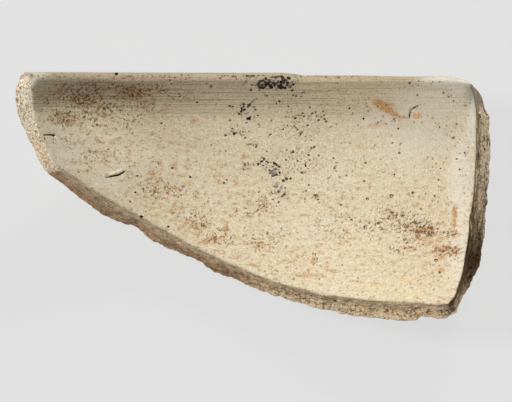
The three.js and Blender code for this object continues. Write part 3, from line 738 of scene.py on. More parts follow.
# Grooves with a sharp bottom: the columns and rows they run through, half width and depth
groove_lines = [
    ([(43, 135.3), (49, 134.8), (52, 135), (54.5, 135.3)], 1, 0.00045),
    ([(106, 177.5), (112, 176.2), (118, 175), (122, 172.8), (125, 171)], 1.2, 0.0005),
    ([(421, 104.5), (415, 107), (411.5, 111), (410, 115), (409.6, 120)], 0.9, 0.0005),
    ([(187, 194), (180, 210), (173, 226)], 0.6, 0.00012),
    ([(172, 182), (182, 186), (191, 190)], 0.6, 0.0001),
    ([(249, 77), (245, 82), (240.5, 87)], 0.8, 0.0002),
    ([(156, 93), (160, 90.5), (165, 89.5), (171, 86)], 0.8, 0.00022),
    ([(163, 93.5), (166, 91), (170, 89.5)], 0.8, 0.00018),
    ([(152, 88), (156, 84.5), (160, 83.5)], 0.7, 0.00015),
    ([(333, 172), (331, 176), (329, 179), (328.5, 185)], 0.8, 0.00025),
    ([(399.5, 146), (401, 143.5), (404, 142.2)], 0.9, 0.0003),
    ([(419.5, 278.5), (421, 276), (423, 275.6)], 0.9, 0.00035),
    ([(457, 251), (460, 249.5), (464, 246.5)], 0.8, 0.0003),
    ([(447, 262), (455, 259), (463, 256)], 0.7, 0.00022),
    ([(231, 204), (241, 206.5), (251, 210.5)], 0.7, 0.00012),
    ([(309, 151), (312, 149), (315, 146.5)], 0.9, 0.00035),
]
ridge_lines = [([(107, 175), (113, 173.3), (119, 171.4), (124, 168.8)], 2.2, 0.00026)]
line_taper_from_to = (0.06, 0.94)
# Painted shade in the grooves: full in the first ones, fainter in the rest
dark_line_count = 3
faint_line_darkness = 0.5

# Wheel marks under the lip: row in the photograph and depth, and the finer ones all over
wheel_groove_rows = [
    (84, 0.00007), (86.2, 0.00005), (90, 0.0001), (92.4, 0.00006), (94.6, 0.00004),
    (97, 0.00005), (100.3, 0.00008), (106, 0.00003), (112.5, 0.00004), (121, 0.00003),
]
wheel_groove_width = 0.0003
wheel_groove_waver = 0.0002
wheel_groove_waver_length = 0.05
wheel_groove_gap_length = 0.03
wheel_groove_gap_from_to = (-0.5, 0.1)
wheel_mark_spacing = 0.0016
wheel_mark_depth = 0.00005
wheel_mark_sink = 0.6
wheel_mark_stretch = 0.03
fine_mark_share = 0.6
fine_mark_ratio = 2.2
fine_mark_seed = 4.0
hand_swell_size = 0.018
hand_swell_depth = 0.00016
hand_swell_sink = 0.5
spall_pixel = (415.5, 113.5)
spall_radius = 0.0026
spall_depth = 0.0004
spall_edge_share = 0.6
worn_edge_width = 0.0006
worn_edge_depth = 0.00022
typical_height_share = 0.8
relief_lip_from_to = (0.1, 0.6)
marks_run_over_lip = 0.006
# The band under the lip that gets painted shade: full above 9 mm below the rim, gone by 20 mm
shaded_drop = (0.02, 0.009)

# Stains, and patches of painted light: column, row, half width and half height in the photograph, and
# strength
blot_fade = (0.35, 1.35)
all_over_brown = 0.2
all_over_brown_from_to = (0.022, 0.045)
brown_patches = [
    (82, 101, 20, 9, 1), (135, 94, 26, 10, 0.9), (66, 119, 20, 8, 0.85), (100, 112, 24, 10, 0.6),
    (60, 92, 14, 8, 0.5), (150, 108, 22, 10, 0.45), (88, 139, 7, 5, 0.5), (68, 142, 8, 5, 0.5),
    (104, 156, 10, 5, 0.7), (75, 162, 14, 5, 0.5), (84, 172, 7, 5, 0.6), (127, 188, 8, 4, 0.5),
    (128, 150, 10, 5, 0.35), (152, 174, 8, 9, 0.75), (162, 147, 7, 5, 0.45),
    (156, 188, 7, 5, 0.85), (141, 179, 7, 6, 0.55), (179, 189, 10, 5, 0.7),
    (195, 122, 7, 5, 0.5), (196, 141, 5, 5, 0.5), (188, 161, 12, 4, 0.45),
    (217, 166, 9, 6, 0.45), (216, 179, 5, 4, 0.75), (245, 157, 7, 5, 0.5),
    (151, 199, 9, 4, 0.6), (150, 209, 10, 4, 0.55), (157, 217, 7, 4, 0.5),
    (173, 210, 9, 6, 0.7), (189, 197, 6, 5, 0.6), (196, 205, 4, 7, 0.7),
    (190, 224, 12, 6, 0.95), (201, 231, 9, 5, 0.85), (209, 241, 11, 5, 1), (221, 239, 7, 4, 0.85),
    (225, 228, 4, 8, 1), (183, 229, 8, 6, 0.6), (224, 253, 6, 4, 0.6), (240, 259, 16, 3, 0.5),
    (247, 201, 8, 5, 0.65), (262, 205, 7, 7, 0.7), (253, 192, 9, 4, 0.5),
    (242, 235, 5, 4, 0.6), (264, 233, 8, 3, 0.7), (272, 238, 5, 4, 0.8), (260, 245, 9, 6, 0.8),
    (250, 243, 6, 3, 0.6), (244, 252, 5, 4, 0.5), (282, 221, 6, 5, 0.5), (256, 265, 7, 4, 0.7),
    (270, 271, 6, 4, 0.6), (289, 249, 5, 6, 0.5), (295, 262, 8, 5, 0.45), (294, 236, 9, 5, 0.35),
    (319, 245, 8, 4, 0.75), (345, 242, 5, 4, 0.75), (350, 248, 4, 5, 0.6),
    (313, 261, 3.5, 8, 0.95), (327, 263, 6, 4, 0.6), (305, 275, 12, 3.5, 0.95),
    (321, 277, 7, 4, 0.6), (334, 273, 4, 5, 0.8), (355, 282, 14, 3, 0.6),
    (389, 210, 8, 4, 0.6), (425, 234, 18, 10, 0.9), (446, 251, 18, 7, 1), (434, 243, 14, 6, 0.9),
    (419, 254, 8, 5, 0.6), (452, 233, 9, 5, 0.8), (436, 266, 14, 8, 0.5), (405, 224, 14, 8, 0.5),
    (330, 207, 10, 6, 0.35), (340, 190, 8, 5, 0.25), (300, 215, 12, 6, 0.3),
    (110, 150, 54, 30, 0.36), (170, 200, 44, 28, 0.45), (150, 172, 44, 24, 0.4), (230, 205, 50, 24, 0.32),
    (90, 136, 50, 14, 0.4), (170, 140, 40, 20, 0.25), (220, 245, 40, 18, 0.35), (300, 262, 50, 16, 0.3),
    (434, 232, 34, 18, 0.45), (430, 266, 26, 16, 0.35),
]
soot_patches = [
    (276, 190, 10, 7, 0.6), (262, 200, 9, 6, 0.5), (283, 197, 6, 4, 0.5), (247, 214, 4, 2, 0.8),
    (317, 196, 5, 4, 0.5), (243, 110, 12, 8, 0.5), (305, 118, 22, 6, 0.5), (235, 130, 8, 6, 0.7),
    (246, 166, 6, 5, 0.8), (252, 143, 6, 4, 0.7), (275, 83, 20, 7, 0.7), (250, 75.5, 9, 1.5, 0.9),
    (262, 163, 12, 6, 0.5), (402, 227, 9, 7, 0.75), (421, 224, 9, 6, 0.9), (428, 233, 9, 5, 1),
    (397, 250, 10, 6, 0.5), (372, 231, 10, 5, 0.45), (410, 238, 12, 6, 0.55),
    (450, 233, 8, 4, 0.6), (389, 209, 6, 4, 0.5), (300, 165, 25, 20, 0.25), (340, 225, 40, 20, 0.2),
    (395, 215, 30, 12, 0.35), (300, 130, 30, 10, 0.25),
]
dirt_patches = [
    (82, 99, 15, 10, 0.95), (72, 90, 20, 8, 0.65), (95, 88, 22, 8, 0.6), (134, 92, 22, 9, 0.9),
    (118, 88, 16, 7, 0.6), (150, 87, 18, 5, 0.5), (66, 118, 16, 9, 0.7), (104, 106, 18, 10, 0.65),
    (52, 100, 12, 8, 0.4), (90, 114, 20, 8, 0.5), (140, 104, 20, 8, 0.45), (180, 96, 16, 6, 0.4),
    (90, 100, 60, 22, 0.35), (110, 120, 50, 12, 0.25), (60, 140, 24, 8, 0.25), (100, 156, 26, 10, 0.3),
    (197, 222, 18, 12, 0.5), (218, 238, 16, 9, 0.5), (60, 76, 26, 3, 0.4), (150, 76, 60, 3, 0.4),
    (230, 77, 40, 3, 0.45), (421, 228, 17, 10, 1), (446, 251, 18, 7, 0.75), (314, 258, 4, 8, 0.6),
    (397, 218, 14, 8, 0.7), (410, 245, 18, 8, 0.4), (452, 233, 8, 5, 0.8), (375, 228, 20, 10, 0.35),
    (262, 205, 12, 10, 0.5), (160, 190, 26, 12, 0.4), (262, 242, 22, 12, 0.4), (330, 76, 50, 3, 0.4),
]
# Chalky rubbed slip at the rim's corners, and elsewhere pale patches of painted light and highlight
chalk_and_painted_light_patches = [
    (70, 150, 34, 24, 0.5), (110, 178, 34, 16, 0.4), (60, 132, 20, 10, 0.4), (150, 160, 30, 20, 0.25),
    (462, 86, 18, 9, 1), (474, 98, 8, 16, 1), (440, 82, 26, 6, 1), (471, 125, 5, 30, 0.8),
    (36, 76, 14, 5, 1), (35, 82, 4, 5, 1), (460, 250, 14, 44, 0.55), (460, 185, 14, 50, 0.8),
    (335, 180, 20, 18, 0.25), (300, 230, 40, 20, 0.25), (380, 122, 26, 14, 0.45),
    (200, 200, 30, 20, 0.2), (430, 104, 44, 24, 0.6), (420, 145, 40, 26, 0.5),
    (50, 153, 5, 7, 0.9), (56, 163, 6, 6, 0.9),
]
# Painted light: pale warm patches on the upper left, and a painted highlight on the ridge above the slash
painted_light_patches = [
    (84, 114, 56, 16, 1), (84, 134, 50, 16, 0.9), (100, 154, 56, 16, 0.6), (112, 173.4, 9, 2, 1),
    (120, 170.6, 6, 1.8, 1),
]
orange_patches = [
    (378, 102, 6, 3.5, 1), (385, 107, 7, 4, 1), (391, 111, 6, 3.5, 0.9), (399, 116.5, 7, 1.6, 0.8),
    (382, 104.5, 6, 4, 1), (388.5, 109, 6, 4, 1), (389, 105, 6, 3, 0.8), (395, 114, 5, 3, 0.9),
    (406, 117.5, 5, 1.2, 0.7), (371, 125.5, 3, 1.8, 0.5), (377, 125, 4, 2.5, 0.6),
    (382, 123, 4, 3, 0.4), (454.5, 213, 3, 9, 1), (454, 224, 2.6, 4, 0.8), (443, 216, 4, 5, 0.3),
    (417, 115, 4, 3.5, 0.3), (194, 121, 5, 3, 0.35), (360, 146, 5, 3, 0.3),
]
yellow_patches = [
    (346, 112, 3, 8, 0.6), (441, 164, 9, 3.5, 0.8), (443, 215, 5, 6, 0.5), (372, 287, 18, 5, 0.6),
    (404, 280, 14, 4, 0.6), (410, 293, 18, 4, 0.6), (430, 160, 22, 6, 0.3), (368, 247, 10, 5, 0.3),
]


def seen_at(column, row):
    """Place across and height of a pixel of the photograph, on the vessel."""
    return (column - middle_column) * pixel, (rim_row - row) * pixel


def blots(x, height, patches):
    """How strongly each place lies in any of the patches, from 0 to 1."""
    most = np.zeros_like(x)
    for column, row, half_width, half_height, strength in patches:
        middle = seen_at(column, row)
        away = np.hypot(
            (x - middle[0]) / (half_width * pixel), (height - middle[1]) / (half_height * pixel)
        )
        most = np.maximum(most, strength * (1 - rise(away, *blot_fade)))
    return most


def off_line(x, height, pixels):
    """Distance of each place from a line through pixels, and the share along it."""
    nearest = np.full_like(x, 1.0)
    share = np.zeros_like(x)
    stops = [np.array(seen_at(*p)) for p in pixels]
    for k, (start, end) in enumerate(zip(stops, stops[1:])):
        run = end - start
        along = ((x - start[0]) * run[0] + (height - start[1]) * run[1]) / (run @ run)
        along = np.clip(along, 0, 1)
        away = np.hypot(x - start[0] - along * run[0], height - start[1] - along * run[1])
        share = np.where(away < nearest, (k + along) / (len(stops) - 1), share)
        nearest = np.minimum(nearest, away)
    return nearest, share


def pits(x, height):
    """How deep each place lies in a pit, from 0 to 1."""
    most = np.zeros_like(x)
    for column, row, half_width in pit_pixels:
        middle = seen_at(column, row)
        reach = half_width * pixel
        lean = pit_lean * math.sin(column * pit_lean_spread)
        dx, dy = x - middle[0], height - middle[1]
        away = np.hypot(dx + lean * dy, (dy - lean * dx) * pit_squeeze) / reach
        most = np.maximum(most, 1 - rise(away, *pit_fade))
    return most


def grooves(x, height, lines):
    """How deep each place lies in the deepest of the drawn lines."""
    deepest = np.zeros_like(x)
    for pixels, half_width, depth in lines:
        away, share = off_line(x, height, pixels)
        taper = np.sin(math.pi * np.clip(share, *line_taper_from_to)) ** 0.5
        deepest = np.maximum(deepest, depth * taper * (1 - rise(away, 0, half_width * pixel)))
    return deepest


def slip_places(shares, relief):
    """Place across, drop below the rim and radius of the slip's corners, with a relief."""
    across, down, into = shares.T
    lip = np.clip(1 - down * slip_cells[1] / slip_lip_rows, 0, 1)
    inside = np.clip(down * slip_cells[1] - slip_lip_rows, 0, None)
    inside = inside / (slip_cells[1] - slip_lip_rows)
    depth = into * slip_thickness
    x, below = sheet(across, inside, depth / wall_thickness)
    bend = np.interp(lip, [0, lip_bend_share, 1], [0, lip_corner_share, lip_step_share])
    wall_share = mix(depth / wall_thickness, 1, bend * (lip > 0))
    nought = np.zeros_like(x)
    left = edge("left", nought, wall_share)[:, 0]
    right = edge("right", nought, wall_share)[:, 0]
    on_lip = lip > 0
    x = np.where(on_lip, mix(left, right, across), x)
    sunk = depth + relief * (1 - into)
    lip_radius, lip_below = lip_inside(sunk, lip, lip_bend_share, 1)
    below = np.where(on_lip, lip_below, below)
    radius = np.where(on_lip, lip_radius, radius_at(below, sunk))
    radius = radius + corner_wear(x, height_at(x, below)) * (1 - wall_share)
    return x, below, radius, lip


def slip_relief(x, height, to_break):
    """How far the front of the slip is sunk below its smooth surface."""
    flat = np.column_stack([x, height, 0 * x])
    along = flat * (1, 0, 0)
    drawn = flat * (wheel_mark_stretch, 1, 1)
    swell = hand_swell_depth * (grain(flat, hand_swell_size) + hand_swell_sink)
    marks = wheel_mark_depth * (grain(drawn, wheel_mark_spacing) + wheel_mark_sink)
    finer = grain(drawn * (2, 1, 1), wheel_mark_spacing / fine_mark_ratio, fine_mark_seed)
    marks += wheel_mark_depth * fine_mark_share * finer
    for row, depth in wheel_groove_rows:
        waver = wheel_groove_waver * grain(along, wheel_groove_waver_length, row)
        broken = rise(grain(along, wheel_groove_gap_length, row + 0.5), *wheel_groove_gap_from_to)
        off = (height - (seen_at(0, row)[1] + waver)) / wheel_groove_width
        marks += depth * broken * np.exp(-(off**2))
    relief = swell + marks + pit_depth * pits(x, height)
    relief += grooves(x, height, groove_lines) - grooves(x, height, ridge_lines)
    middle = seen_at(*spall_pixel)
    away = np.hypot(x - middle[0], height - middle[1]) / spall_radius
    relief += spall_depth * (1 - rise(away, spall_edge_share, 1))
    return relief + worn_edge_depth * np.exp(-to_break / worn_edge_width)


slip_body = unit_slab(slip_cells)
shares = shares_of(slip_body)
cut_finer(slip_body, (shares[:, 2] < edge_tolerance) | at_edges(shares), slip_cuts)
shares = shares_of(slip_body)
x, below, radius, lip = slip_places(shares, 0)
height = height_at(x, below)
close = pits(x, height) > 0
for column, row, half_width in pit_pixels:
    middle = seen_at(column, row)
    close |= np.hypot(x - middle[0], height - middle[1]) < half_width * pixel + pit_margin
cut_finer(slip_body, close & (shares[:, 2] < edge_tolerance) & (lip < 0.5), pit_cuts)
shares = shares_of(slip_body)
x, below, radius, lip = slip_places(shares, 0)
height = height_at(x, below)
across, down, _ = shares.T
to_side = np.minimum(across, 1 - across) * sherd_width
to_break = np.minimum(to_side, (1 - down) * sherd_height * typical_height_share)
relief = slip_relief(x, height, to_break) * (1 - rise(lip, *relief_lip_from_to))
x, below, radius, lip = slip_places(shares, relief)
slip = make_mesh("cream_slip", slip_body, lay_down(vessel_points(x, below, radius)))
patch_kinds = (
    brown_patches, soot_patches, dirt_patches, orange_patches, yellow_patches, chalk_and_painted_light_patches,
)
stained = [blots(x, height, patches) for patches in patch_kinds]
stained[0] = np.maximum(stained[0], all_over_brown * rise(-height, *all_over_brown_from_to))
dark_lines = [
    (line, half_width, 1 if k < dark_line_count else faint_line_darkness)
    for k, (line, half_width, _) in enumerate(groove_lines)
]
# Painted shade in the pits and grooves
hollow_shade = np.maximum(pits(x, height) * pit_shade_strength, grooves(x, height, dark_lines))
set_attribute(slip, "turned", x, below - marks_run_over_lip * lip, radius * 0)
set_attribute(slip, "stains", *stained[:3])
set_attribute(slip, "tones", *stained[3:])
set_attribute(slip, "marks", hollow_shade, rise(below, *shaded_drop), rise(lip, 0, 0.5))
# Painted light: how much paler and warmer each place of the slip is made
painted_light = blots(x, height, painted_light_patches)
set_attribute(slip, "painted_light", painted_light, painted_light, painted_light)


def patchy(strength, spots, start, end):
    """A mask that fills in as a patch gets stronger, broken up by fine noise."""
    level = times_plus(strength, 0.6, -2.5)
    filled = ease(times_plus(spots, 5.0, level), start, end)
    return times(filled, ease(strength, 0.0, 0.22))


def cream_slip():
    """Matt cream clay with fine wheel marks, brown mottles, stains, painted shade and light."""
    material, tree, shader = new_material("cream_slip")
    place = put(tree, "TexCoord").outputs["Object"]
    turned, _ = read_attribute(tree, "turned")
    _, (brown, soot, dirt) = read_attribute(tree, "stains")
    _, (orange, yellow, chalk_and_painted_light) = read_attribute(tree, "tones")
    _, (painted_hollow_shade, shaded, on_lip) = read_attribute(tree, "marks")
    _, painted_light = read_attribute(tree, "painted_light")
    fine = cloud(place, 0.00065, 3, 0.75)
    mottle = cloud(stretch(turned, (0.6, 1, 1)), 0.0016, 5, 0.8)
    spots = cloud(place, 0.001, 4, 0.75)
    broad = ease(cloud(stretch(turned, (0.45, 1, 1)), 0.02, 3), 0.35, 0.65)
    lines = cloud(stretch(turned, (0.012, 1, 1)), 0.00045, 2, 0.6)
    lit = times_plus(shaded, -1.0, 1.0)
    mixed = ease(fine, 0.42, 0.58)
    brown_tone = tint(mixed, (0.38, 0.2, 0.075, 1), (0.64, 0.42, 0.21, 1))
    rusty = tint(mixed, (0.4, 0.18, 0.055, 1), (0.68, 0.38, 0.16, 1))
    rust = times(patchy(orange, spots, 0.1, 0.6), 0.45)
    freckles = specks(place, 0.001, 0.22)
    freckled = tint(ease(mottle, 0.42, 0.58), (0.16, 0.08, 0.03, 1), (0.42, 0.22, 0.08, 1))
    colour = washes(
        tint(broad, (0.725, 0.62, 0.44, 1), (0.685, 0.57, 0.395, 1)),
        # Painted light in pale warm patches, and a painted highlight on the ridge above the slash
        ((1, 0.86, 0.6), painted_light[0], 0.95),
        ((0.46, 0.345, 0.2), ease(fine, 0.52, 0.62), 0.5),
        ((0.92, 0.84, 0.65), ease(fine, 0.48, 0.38), 0.5),
        ((0.5, 0.37, 0.21), ease(mottle, 0.53, 0.65), 0.35),
        ((0.9, 0.81, 0.6), ease(mottle, 0.47, 0.37), 0.35),
        # Painted shade under the lip: a dark wash, and darker wheel lines in it
        ((0.45, 0.32, 0.17), shaded, 0.13),
        ((0.27, 0.18, 0.09), times(ease(lines, 0.55, 0.6), shaded), 0.5),
        ((0.34, 0.27, 0.165), on_lip, 0.6),
        # Chalky rubbed slip at the rim's corners, and painted light in pale patches elsewhere
        ((0.82, 0.76, 0.645), times(chalk_and_painted_light, times_plus(broad, 0.2, 0.65)), 1),
        ((0.6, 0.41, 0.22), times(times(brown, brown), lit), 0.35),
        (brown_tone, patchy(brown, mottle, 0.3, 0.75), 0.85),
        ((0.18, 0.075, 0.02), patchy(dirt, spots, 0.46, 0.66), 0.93),
        (rusty, times_plus(orange, 0.55, rust), 1),
        ((0.78, 0.6, 0.28), yellow, 0.45),
        ((0.13, 0.075, 0.05), patchy(soot, spots, 0.46, 0.62), 0.8),
        (freckled, freckles, 0.85),
        # Painted shade: near black in the pits and grooves
        ((0.02, 0.012, 0.008), ease(painted_hollow_shade, 0.12, 0.42), 1),
    )
    scored = times(lines, times_plus(shaded, 0.7, 0.1))
    height = times_plus(fine, 0.6, scored)
    dress(shader, colour, 0.85, 0.12, times_plus(freckles, -0.35, height), 0.7, 0.0004)
    return material


slip.data.materials.append(cream_slip())
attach(slip, "root")
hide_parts("inner_slip")

# The black crust: a crumbly scab on the rim and four smaller clusters down the inside, of dark
# deposit that grew on the slip in the ground. It stands on the slip, and nothing holds it.
lump_cuts = 3
lump_bump_size = 0.9
lump_seed_step = 9.7
crust_swell = 1.2
crust_lumpiness = 0.45
crust_lift_share = 0.5
crust_sunk = 0.00006

# Its lumps: column and row in the photograph, half width and half height, lean, and paleness
crust_lumps = {
    "rim_crust": [
        (258.4, 84.2, 1.2, 1.8, 0, 0.1), (259.6, 81.2, 1.4, 1.1, 40, 0.15),
        (262.4, 80.1, 1.7, 1, 0, 0.1), (265, 81.6, 1.1, 1.5, 20, 0.2), (265.4, 84.6, 1.1, 1.6, 0, 0),
        (263.6, 87.4, 1.7, 1.1, 20, 0), (260.4, 87.2, 1.5, 1.2, -30, 0), (262, 84.6, 0.9, 0.7, 0, 0.3),
        (265.8, 78.1, 1.2, 1.1, 0, 0), (269.2, 81.5, 1.7, 1.1, 20, 0.25), (269.4, 84, 1, 0.8, 0, 0),
        (271, 86.4, 2.3, 1.4, -10, 0), (273.6, 82.5, 1.8, 0.9, -10, 0.2), (274.8, 85.2, 1, 0.8, 0, 0.1),
        (276, 76.6, 1.6, 0.8, 0, 0.2), (279.5, 75.9, 2, 0.8, 0, 0.2), (282.6, 76.8, 1.7, 1.2, -40, 0.1),
        (283.6, 79.4, 1.6, 1.8, 0, 0.15), (281.2, 81.4, 1.6, 1.1, 20, 0), (278.2, 81.2, 0.9, 0.8, 0, 0),
        (280.7, 86.4, 2.2, 1.8, 0, 0), (281, 83.8, 1, 1.1, 0, 0.1), (277.4, 84.6, 0.8, 0.7, 0, 0.2),
        (285.2, 87.4, 1.3, 1, 0, 0), (287.6, 82.2, 1.3, 1.3, 0, 0), (288.8, 77.6, 1.5, 1.2, -20, 0),
        (286.2, 79.6, 0.9, 0.8, 0, 0.2), (289.6, 86, 1.8, 1.5, 0, 0.6), (293.4, 84, 1.1, 1, 0, 0),
        (292.4, 81.4, 0.7, 0.6, 0, 0.2), (292.6, 90.2, 0.8, 0.7, 0, 0), (252, 84.4, 1.8, 0.5, 0, 0.1),
        (251.4, 89.8, 0.8, 0.8, 0, 0), (255.6, 84.8, 1, 0.5, 0, 0.2), (253.6, 75.2, 1.6, 0.5, -10, 0.1),
        (247.4, 75.3, 2, 0.6, -20, 0.3), (258.6, 74.8, 1.5, 0.4, 0, 0.2), (263.4, 74.8, 1.5, 0.4, 0, 0.2),
        (262.2, 84.6, 1.4, 1.3, 0, 0.35), (267.4, 83.4, 1.4, 1, 0, 0), (270.4, 84.4, 1.5, 1.2, 0, 0.1),
        (274, 83.6, 1.4, 0.9, 0, 0.1), (276.8, 82.4, 1, 0.8, 0, 0.2), (278.8, 85.2, 1.2, 1.1, 0, 0.1),
        (283.2, 86.8, 1.2, 1, 0, 0), (283.6, 82, 1.3, 1.2, 0, 0.15), (272.8, 76.2, 1.4, 0.7, 0, 0.25),
        (269, 79.4, 1.2, 0.9, 0, 0.3), (286.8, 84.6, 1, 0.8, 0, 0.3),
    ],
    "crust_fleck_01": [
        (256.4, 98.3, 0.8, 0.6, 30, 0.6), (254.2, 99.4, 0.8, 0.6, 30, 0.5),
        (252.4, 100.9, 0.8, 0.7, 30, 0.45), (250.8, 102.6, 0.8, 0.8, 0, 0.35),
        (249.2, 104.4, 1.4, 1.2, 20, 0.1), (247.8, 106.4, 1, 0.9, 0, 0.3),
        (243.8, 103.6, 1, 1.1, 0, 0.2), (243.4, 106, 0.9, 0.9, 0, 0.1), (244.3, 109.2, 1.2, 1, 0, 0.1),
        (241.7, 107.8, 0.9, 1, 0, 0), (241.1, 110.8, 1.2, 1.1, 40, 0.1), (238.6, 113.4, 1.2, 1, 30, 0.2),
        (255.4, 109.1, 1, 0.8, 0, 0.1), (254.6, 106.3, 0.8, 0.7, 0, 0.2), (248.5, 118, 1.9, 1.5, 10, 0),
        (249.9, 116.6, 1, 0.8, 0, 0.2),
    ],
    "crust_fleck_02": [
        (274.2, 162.8, 1.6, 1.1, -45, 0), (276.4, 164.2, 1.8, 1.1, -40, 0.1),
        (279, 166.4, 1.3, 0.9, -45, 0.1), (273, 166.4, 0.8, 0.7, 0, 0.2),
        (275.4, 169, 1.6, 1.2, 20, 0.7), (271.4, 171.6, 2.6, 1.8, 30, 0.85),
        (274.2, 173, 2.2, 1.8, 0, 0.8), (272.8, 175.6, 1.6, 1.1, 0, 0.7), (276.4, 174.6, 1.3, 1.1, 0, 0.15),
        (279.7, 172.4, 1.1, 1, 0, 0.15), (278.4, 169.6, 0.8, 0.7, 0, 0.4), (269.4, 169.6, 1, 0.8, 0, 0.6),
    ],
    "crust_fleck_03": [
        (258.1, 163.8, 1.1, 1, 0, 0), (261.6, 161.2, 1.6, 1.1, 30, 0.05), (264.4, 158.9, 1.1, 0.9, 0, 0.2),
        (266.2, 161, 0.8, 0.8, 0, 0.2), (268, 162.2, 1, 0.9, 0, 0.2), (263.2, 165.3, 1.1, 0.7, 0, 0.1),
    ],
    "crust_fleck_04": [
        (286.8, 178.4, 1.8, 1.4, 0, 0.35), (283.4, 180.4, 1.7, 1.3, 0, 0.3), (290.8, 178.2, 1, 0.9, 0, 0.1),
        (284.4, 194.2, 1.8, 1.3, 20, 0.6), (278.9, 191.7, 1.2, 1, 0, 0.3), (282.4, 196.2, 1.2, 0.9, 0, 0.5),
        (285.4, 187.6, 0.9, 0.7, 0, 0.3),
    ],
}


def skin_radius(x, height):
    """Radius of the slip's face at each place, on its lip too."""
    below = below_at(x, height)
    up = np.clip(lip_inner_round - below, -lip_inner_round, lip_inner_round)
    lip_radius = lip_inner_centre - np.sqrt(lip_inner_round**2 - up**2)
    sunk = slip_relief(x, height, sherd_width) * rise(below, lip_foot / 2, lip_foot)
    return np.where(below < lip_foot, lip_radius, radius_at(below, 0)) + sunk


def skin_lumps(name, lumps, swell, lumpiness, lift_share, sunk):
    """Small ragged lumps that stand on the slip, as one piece that stores their paleness."""
    body = bmesh.new()
    places, pale = [], []
    for k, (column, row, half_width, half_height, lean, paleness) in enumerate(lumps):
        ball = bmesh.ops.create_icosphere(body, subdivisions=lump_cuts, radius=swell)["verts"]
        unit = np.array([tuple(v.co) for v in ball])
        unit *= 1 + lumpiness * grain(unit, lump_bump_size, lump_seed_step * k + column)[:, None]
        middle, turn = seen_at(column, row), math.radians(lean)
        right, up = unit[:, 0] * half_width * pixel, unit[:, 1] * half_height * pixel
        x = middle[0] + right * math.cos(turn) - up * math.sin(turn)
        height = middle[1] + right * math.sin(turn) + up * math.cos(turn)
        lift = unit[:, 2] * min(half_width, half_height) * pixel * lift_share
        radius = skin_radius(x, height) - lift + sunk
        places.append(vessel_points(x, below_at(x, height), radius))
        pale.append(np.full(len(x), paleness))
    made = make_mesh(name, body, lay_down(np.vstack(places)))
    pale = np.concatenate(pale)
    set_attribute(made, "paleness", pale, pale, pale)
    return made


def black_crust():
    """Matt black crumbs with purple-brown and grey ones among them."""
    material, tree, shader = new_material("black_crust")
    place = put(tree, "TexCoord").outputs["Object"]
    _, pale = read_attribute(tree, "paleness")
    spots = ease(cloud(place, 0.0007, 3, 0.65), 0.42, 0.62)
    colour = tint(spots, (0.014, 0.009, 0.008, 1), (0.06, 0.036, 0.03, 1))
    grey = tint(spots, (0.2, 0.16, 0.135, 1), (0.42, 0.36, 0.3, 1))
    colour = tint(pale[0], colour, grey)
    rough = cloud(place, 0.0004, 3, 0.6)
    dress(shader, colour, 0.85, 0.2, rough, 0.8, 0.0003)
    return material


crust_paint = black_crust()
for name, lumps in crust_lumps.items():
    crust = skin_lumps(
        f"black_{name}", lumps, crust_swell, crust_lumpiness, crust_lift_share, crust_sunk
    )
    crust.data.materials.append(crust_paint)
    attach(crust, "root")
    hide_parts(name)

# The ironstone pellet: a soft, rusty lump of iron-rich clay that burst the slip as it fired, and
# still sits low in the spall that it made, crumbled at its edges.
# Its lumps as for the crust; the paleness of the two lumps on its right is a painted highlight
pellet_lumps = [
    (417.4, 114.8, 4.4, 3.8, 20, 0.3), (415, 117, 2.2, 1.6, -20, 0), (420.4, 112.8, 2, 1.7, 30, 0.8),
    (419.8, 116.8, 2.2, 1.5, 10, 0.6), (414.6, 113, 1.6, 1.4, 0, 0.1),
]
pellet_swell = 1
pellet_lumpiness = 0.35
pellet_lift_share = 0.26
pellet_sunk = 0.00005


def ironstone():
    """Pale orange clay with rusty and cream grains, and a painted highlight on its right."""
    material, tree, shader = new_material("ironstone")
    place = put(tree, "TexCoord").outputs["Object"]
    _, pale = read_attribute(tree, "paleness")
    grains = ease(cloud(place, 0.0008, 3, 0.65), 0.4, 0.62)
    colour = tint(grains, (0.62, 0.32, 0.15, 1), (0.76, 0.5, 0.3, 1))
    # Paler clay on the middle lump, and a painted highlight on the lumps at the pellet's right
    colour = washes(colour, ((0.84, 0.68, 0.48), pale[0], 0.6))
    rough = cloud(place, 0.0005, 3, 0.6)
    dress(shader, colour, 0.9, 0.5, rough, 0.7, 0.0003)
    return material


pellet = skin_lumps(
    "rusty_pellet", pellet_lumps, pellet_swell, pellet_lumpiness, pellet_lift_share, pellet_sunk
)
pellet.data.materials.append(ironstone())
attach(pellet, "root")
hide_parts("ironstone_pellet")

# The grit: twenty of the larger grains that the potter's clay holds. Four show in the slip and
# sixteen in the breaks, each of them bedded in the fired clay, with only its face bare.
grit_count = 20
skin_grain_count = 4
skin_grain_share = 0.5
break_grain_share = 0.66
grit_cuts = 3
grit_lumpiness = 0.5
grit_bump_size = 0.8
grit_first_seed = 2
grit_seed_step = 5.3
grit_tones = {
    "grit_brown": ((0.25, 0.14, 0.075), (0.38, 0.25, 0.15)),
    "grit_pale": ((0.6, 0.47, 0.31), (0.8, 0.68, 0.5)),
    "grit_dark": ((0.12, 0.075, 0.045), (0.22, 0.14, 0.09)),
}


def grit(name, tones):
    """A matt grain with a darker and a lighter tone in it."""
    material, tree, shader = new_material(name)
    place = put(tree, "TexCoord").outputs["Object"]
    share = ease(cloud(place, 0.0006, 3, 0.6), 0.4, 0.6)
    colour = tint(share, (*tones[0], 1), (*tones[1], 1))
    rough = cloud(place, 0.0004, 3, 0.6)
    dress(shader, colour, 0.85, 0.5, rough, 0.7, 0.0003)
    return material


